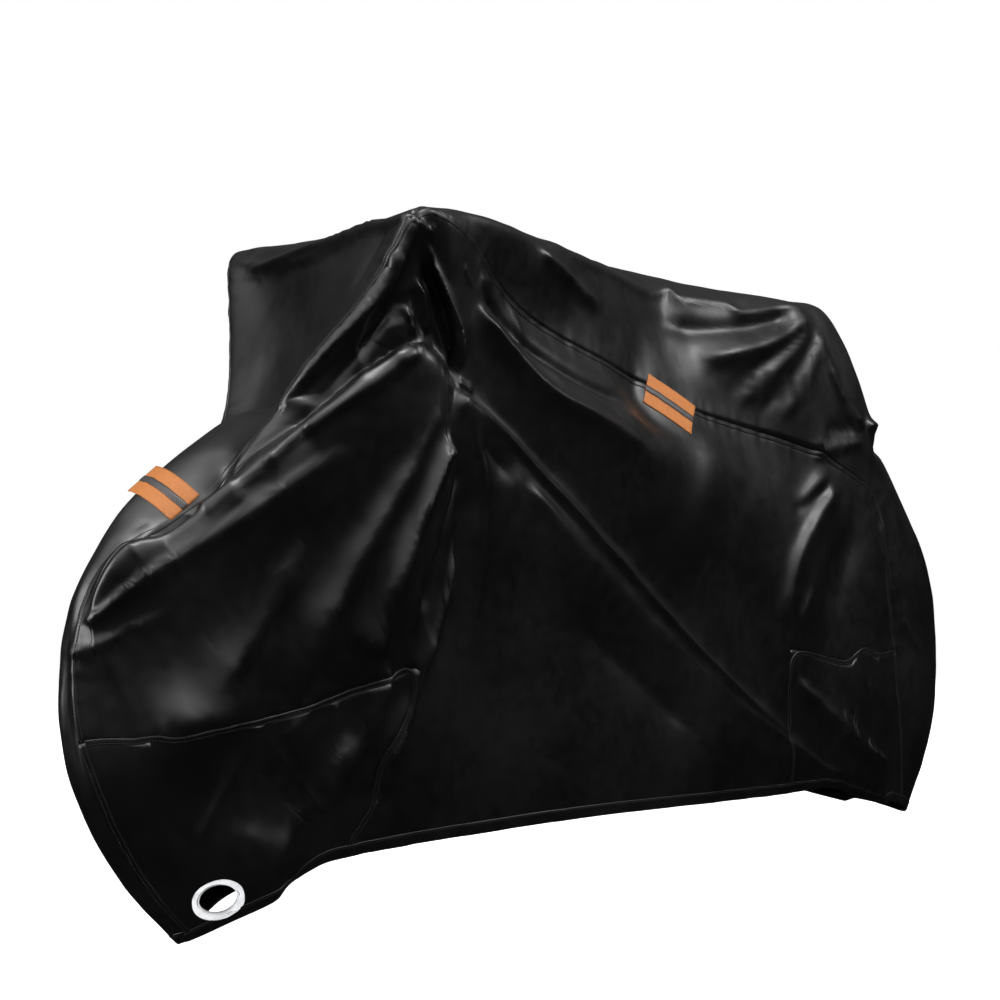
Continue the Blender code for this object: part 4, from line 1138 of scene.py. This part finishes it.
# a two-part ring: a rolled flange on each face of the cloth and a barrel through the hole
def setEyelet(name, sign):
    sides = Vector((1, sign, 1))
    centre = Vector(eyelet["centre"]) * sides
    normal = (Vector(eyelet["normal"]) * sides).normalized()
    along = Vector((0, 0, 1)).cross(normal).normalized()
    up = normal.cross(along)
    turn = Matrix((along, up, normal)).transposed().to_4x4()
    bore, rim, lip, under = eyelet["bore"], eyelet["rim"], eyelet["flange"], -eyelet["cloth"]
    seat, barrel = eyelet["seat"], eyelet["hole"] - eyelet["play"]
    profile = []
    for step in range(eyelet["crown"] + 1):
        share = step / eyelet["crown"]
        radius = bore + (rim - bore) * share
        profile.append((radius, lip * math.sin(math.pi * share) ** eyelet["round"] + eyelet["lift"]))
    profile += [(rim, seat), (barrel, seat), (barrel, under),
                (rim - 0.001, under), (rim - 0.001, under - lip * 0.5), (rim - 0.003, under - lip * 0.9),
                (bore + 0.003, under - lip * 0.9), (bore, under - lip * 0.5)]
    bm = bmesh.new()
    verts = [bm.verts.new((radius, 0, height)) for radius, height in profile]
    for k, vert in enumerate(verts):
        bm.edges.new((verts[k - 1], vert))
    bmesh.ops.spin(bm, geom=bm.verts[:] + bm.edges[:], cent=(0, 0, 0), axis=(0, 0, 1), dvec=(0, 0, 0),
                   angle=math.tau, steps=eyelet["steps"], use_merge=True, use_duplicate=False)
    bmesh.ops.remove_doubles(bm, verts=bm.verts, dist=1e-6)
    bm.transform(Matrix.Translation(centre) @ turn @ Matrix.Diagonal((1, eyelet["oval"], 1, 1)))
    bmesh.ops.recalc_face_normals(bm, faces=bm.faces)
    ring = newPiece(name + "_ring", meshFrom(bm, name + "_ring"), ringFinish)
    ring.data.set_sharp_from_angle(angle=math.radians(eyelet["sharp"]))
    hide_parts(name)
    return ring


eyelets = {"near": setEyelet("near_lock_eyelet", 1), "far": setEyelet("far_lock_eyelet", -1)}
print("eyelets set")

# area that each panel is cut from, in square metres, by a rough estimate
cutShare = 0.97            # area of a panel's cut over that of its draped cloth


def cutPanel(index, node):
    part = cover.copy()
    others = [face for face in part.faces if face.material_index != index]
    bmesh.ops.delete(part, geom=others, context="FACES")
    for face in part.faces:
        face.material_index = 0
    area = sum(face.calc_area() for face in part.faces)
    mesh = meshFrom(part, node + "_cloth")
    piece = newPiece(node + "_cloth", mesh, clothFinish)
    solidified(skin["cloth"])(piece)
    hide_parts(node)
    return piece, area


sewnOn = {"top_panel": [felledSeams, seamStitches, turnedHem, hemStitches, *tapePieces["front_tape"]],
          "near_side_panel": [*tapePieces["near_side_tape"]],
          "far_side_panel": [*tapePieces["far_side_tape"]],
          "near_front_corner": [eyelets["near"]], "far_front_corner": [eyelets["far"]]}
for index, node in enumerate(panels):
    piece, area = cutPanel(index, node)
    flatArea = area * cutShare
    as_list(sewnOn.get(node, ()))
print("panels cut")

# the floor's colour, half size, roughness and own light; light of the room below and above, the heights
# it rises between, and how far it is dimmed behind the cover
studio = {"floor": (0.88, 0.88, 0.88, 1), "half": 14.0, "roughness": 0.9, "glow": 0.9, "ground": -0.99,
          "below": 0.006, "above": 1.45, "rise": (0.12, 0.80), "behind": (-0.15, 0.30), "dimmed": 0.90}


def buildFloor():
    bm = bmesh.new()
    bmesh.ops.create_grid(bm, x_segments=1, y_segments=1, size=studio["half"])
    bmesh.ops.translate(bm, verts=bm.verts, vec=(0, 0, studio["ground"]))
    floor = bpy.data.objects.new("floor", meshFrom(bm, "floor"))
    scene.collection.objects.link(floor)
    material = bpy.data.materials.new("floor")
    material.use_nodes = True
    shader = material.node_tree.nodes["Principled BSDF"]
    shader.inputs["Base Color"].default_value = studio["floor"]
    shader.inputs["Roughness"].default_value = studio["roughness"]
    shader.inputs["Emission Color"].default_value = (1, 1, 1, 1)
    shader.inputs["Emission Strength"].default_value = studio["glow"]
    floor.data.materials.append(material)
    floor.visible_glossy = False


# a white room whose light all comes from overhead, so that whatever faces the viewer stays black
def buildWorld():
    world = bpy.data.worlds.new("studio")
    scene.world = world
    world.use_nodes = True
    tree = world.node_tree
    background = tree.nodes["Background"]
    start = Flow(tree, background.inputs[0])
    east, north, up = start.node("ShaderNodeTexCoord", out=0).numbers()
    turn = math.radians(view["turn"])
    rise = up.between(*studio["rise"])
    behind = (east * math.sin(turn) + north * math.cos(turn)).between(*studio["behind"])
    level = rise * (1.0 - behind * studio["dimmed"]) * studio["above"] + studio["below"]
    seen = start.node("ShaderNodeLightPath", out=0)
    strength = seen + (1.0 - seen) * level
    tree.links.new(strength.socket, background.inputs["Strength"])
    background.inputs["Color"].default_value = (1, 1, 1, 1)


# place, aim, width, height, power
lamps = {
    "overhead": ((-1.3, -0.9, 2.2), (-0.5, 0, -0.4), 1.6, 0.6, 32),
    "leftSide": ((-3.9, 0.6, 0.0), (-0.8, -0.2, -0.5), 1.5, 2.4, 44),
    "upperRight": ((1.8, -2.2, 1.9), (0.0, 0, -0.4), 0.8, 1.4, 22),
}


def hangLamps():
    for name, (place, aim, width, height, power) in lamps.items():
        data = bpy.data.lights.new(name, "AREA")
        data.shape = "RECTANGLE"
        data.size, data.size_y = width, height
        data.energy = power
        lamp = bpy.data.objects.new(name, data)
        way = Vector(aim) - Vector(place)
        lamp.matrix_world = Matrix.Translation(place) @ way.to_track_quat("-Z", "Y").to_matrix().to_4x4()
        scene.collection.objects.link(lamp)


buildFloor()
buildWorld()
hangLamps()
scene.view_settings.view_transform = "Standard"
cover.free()
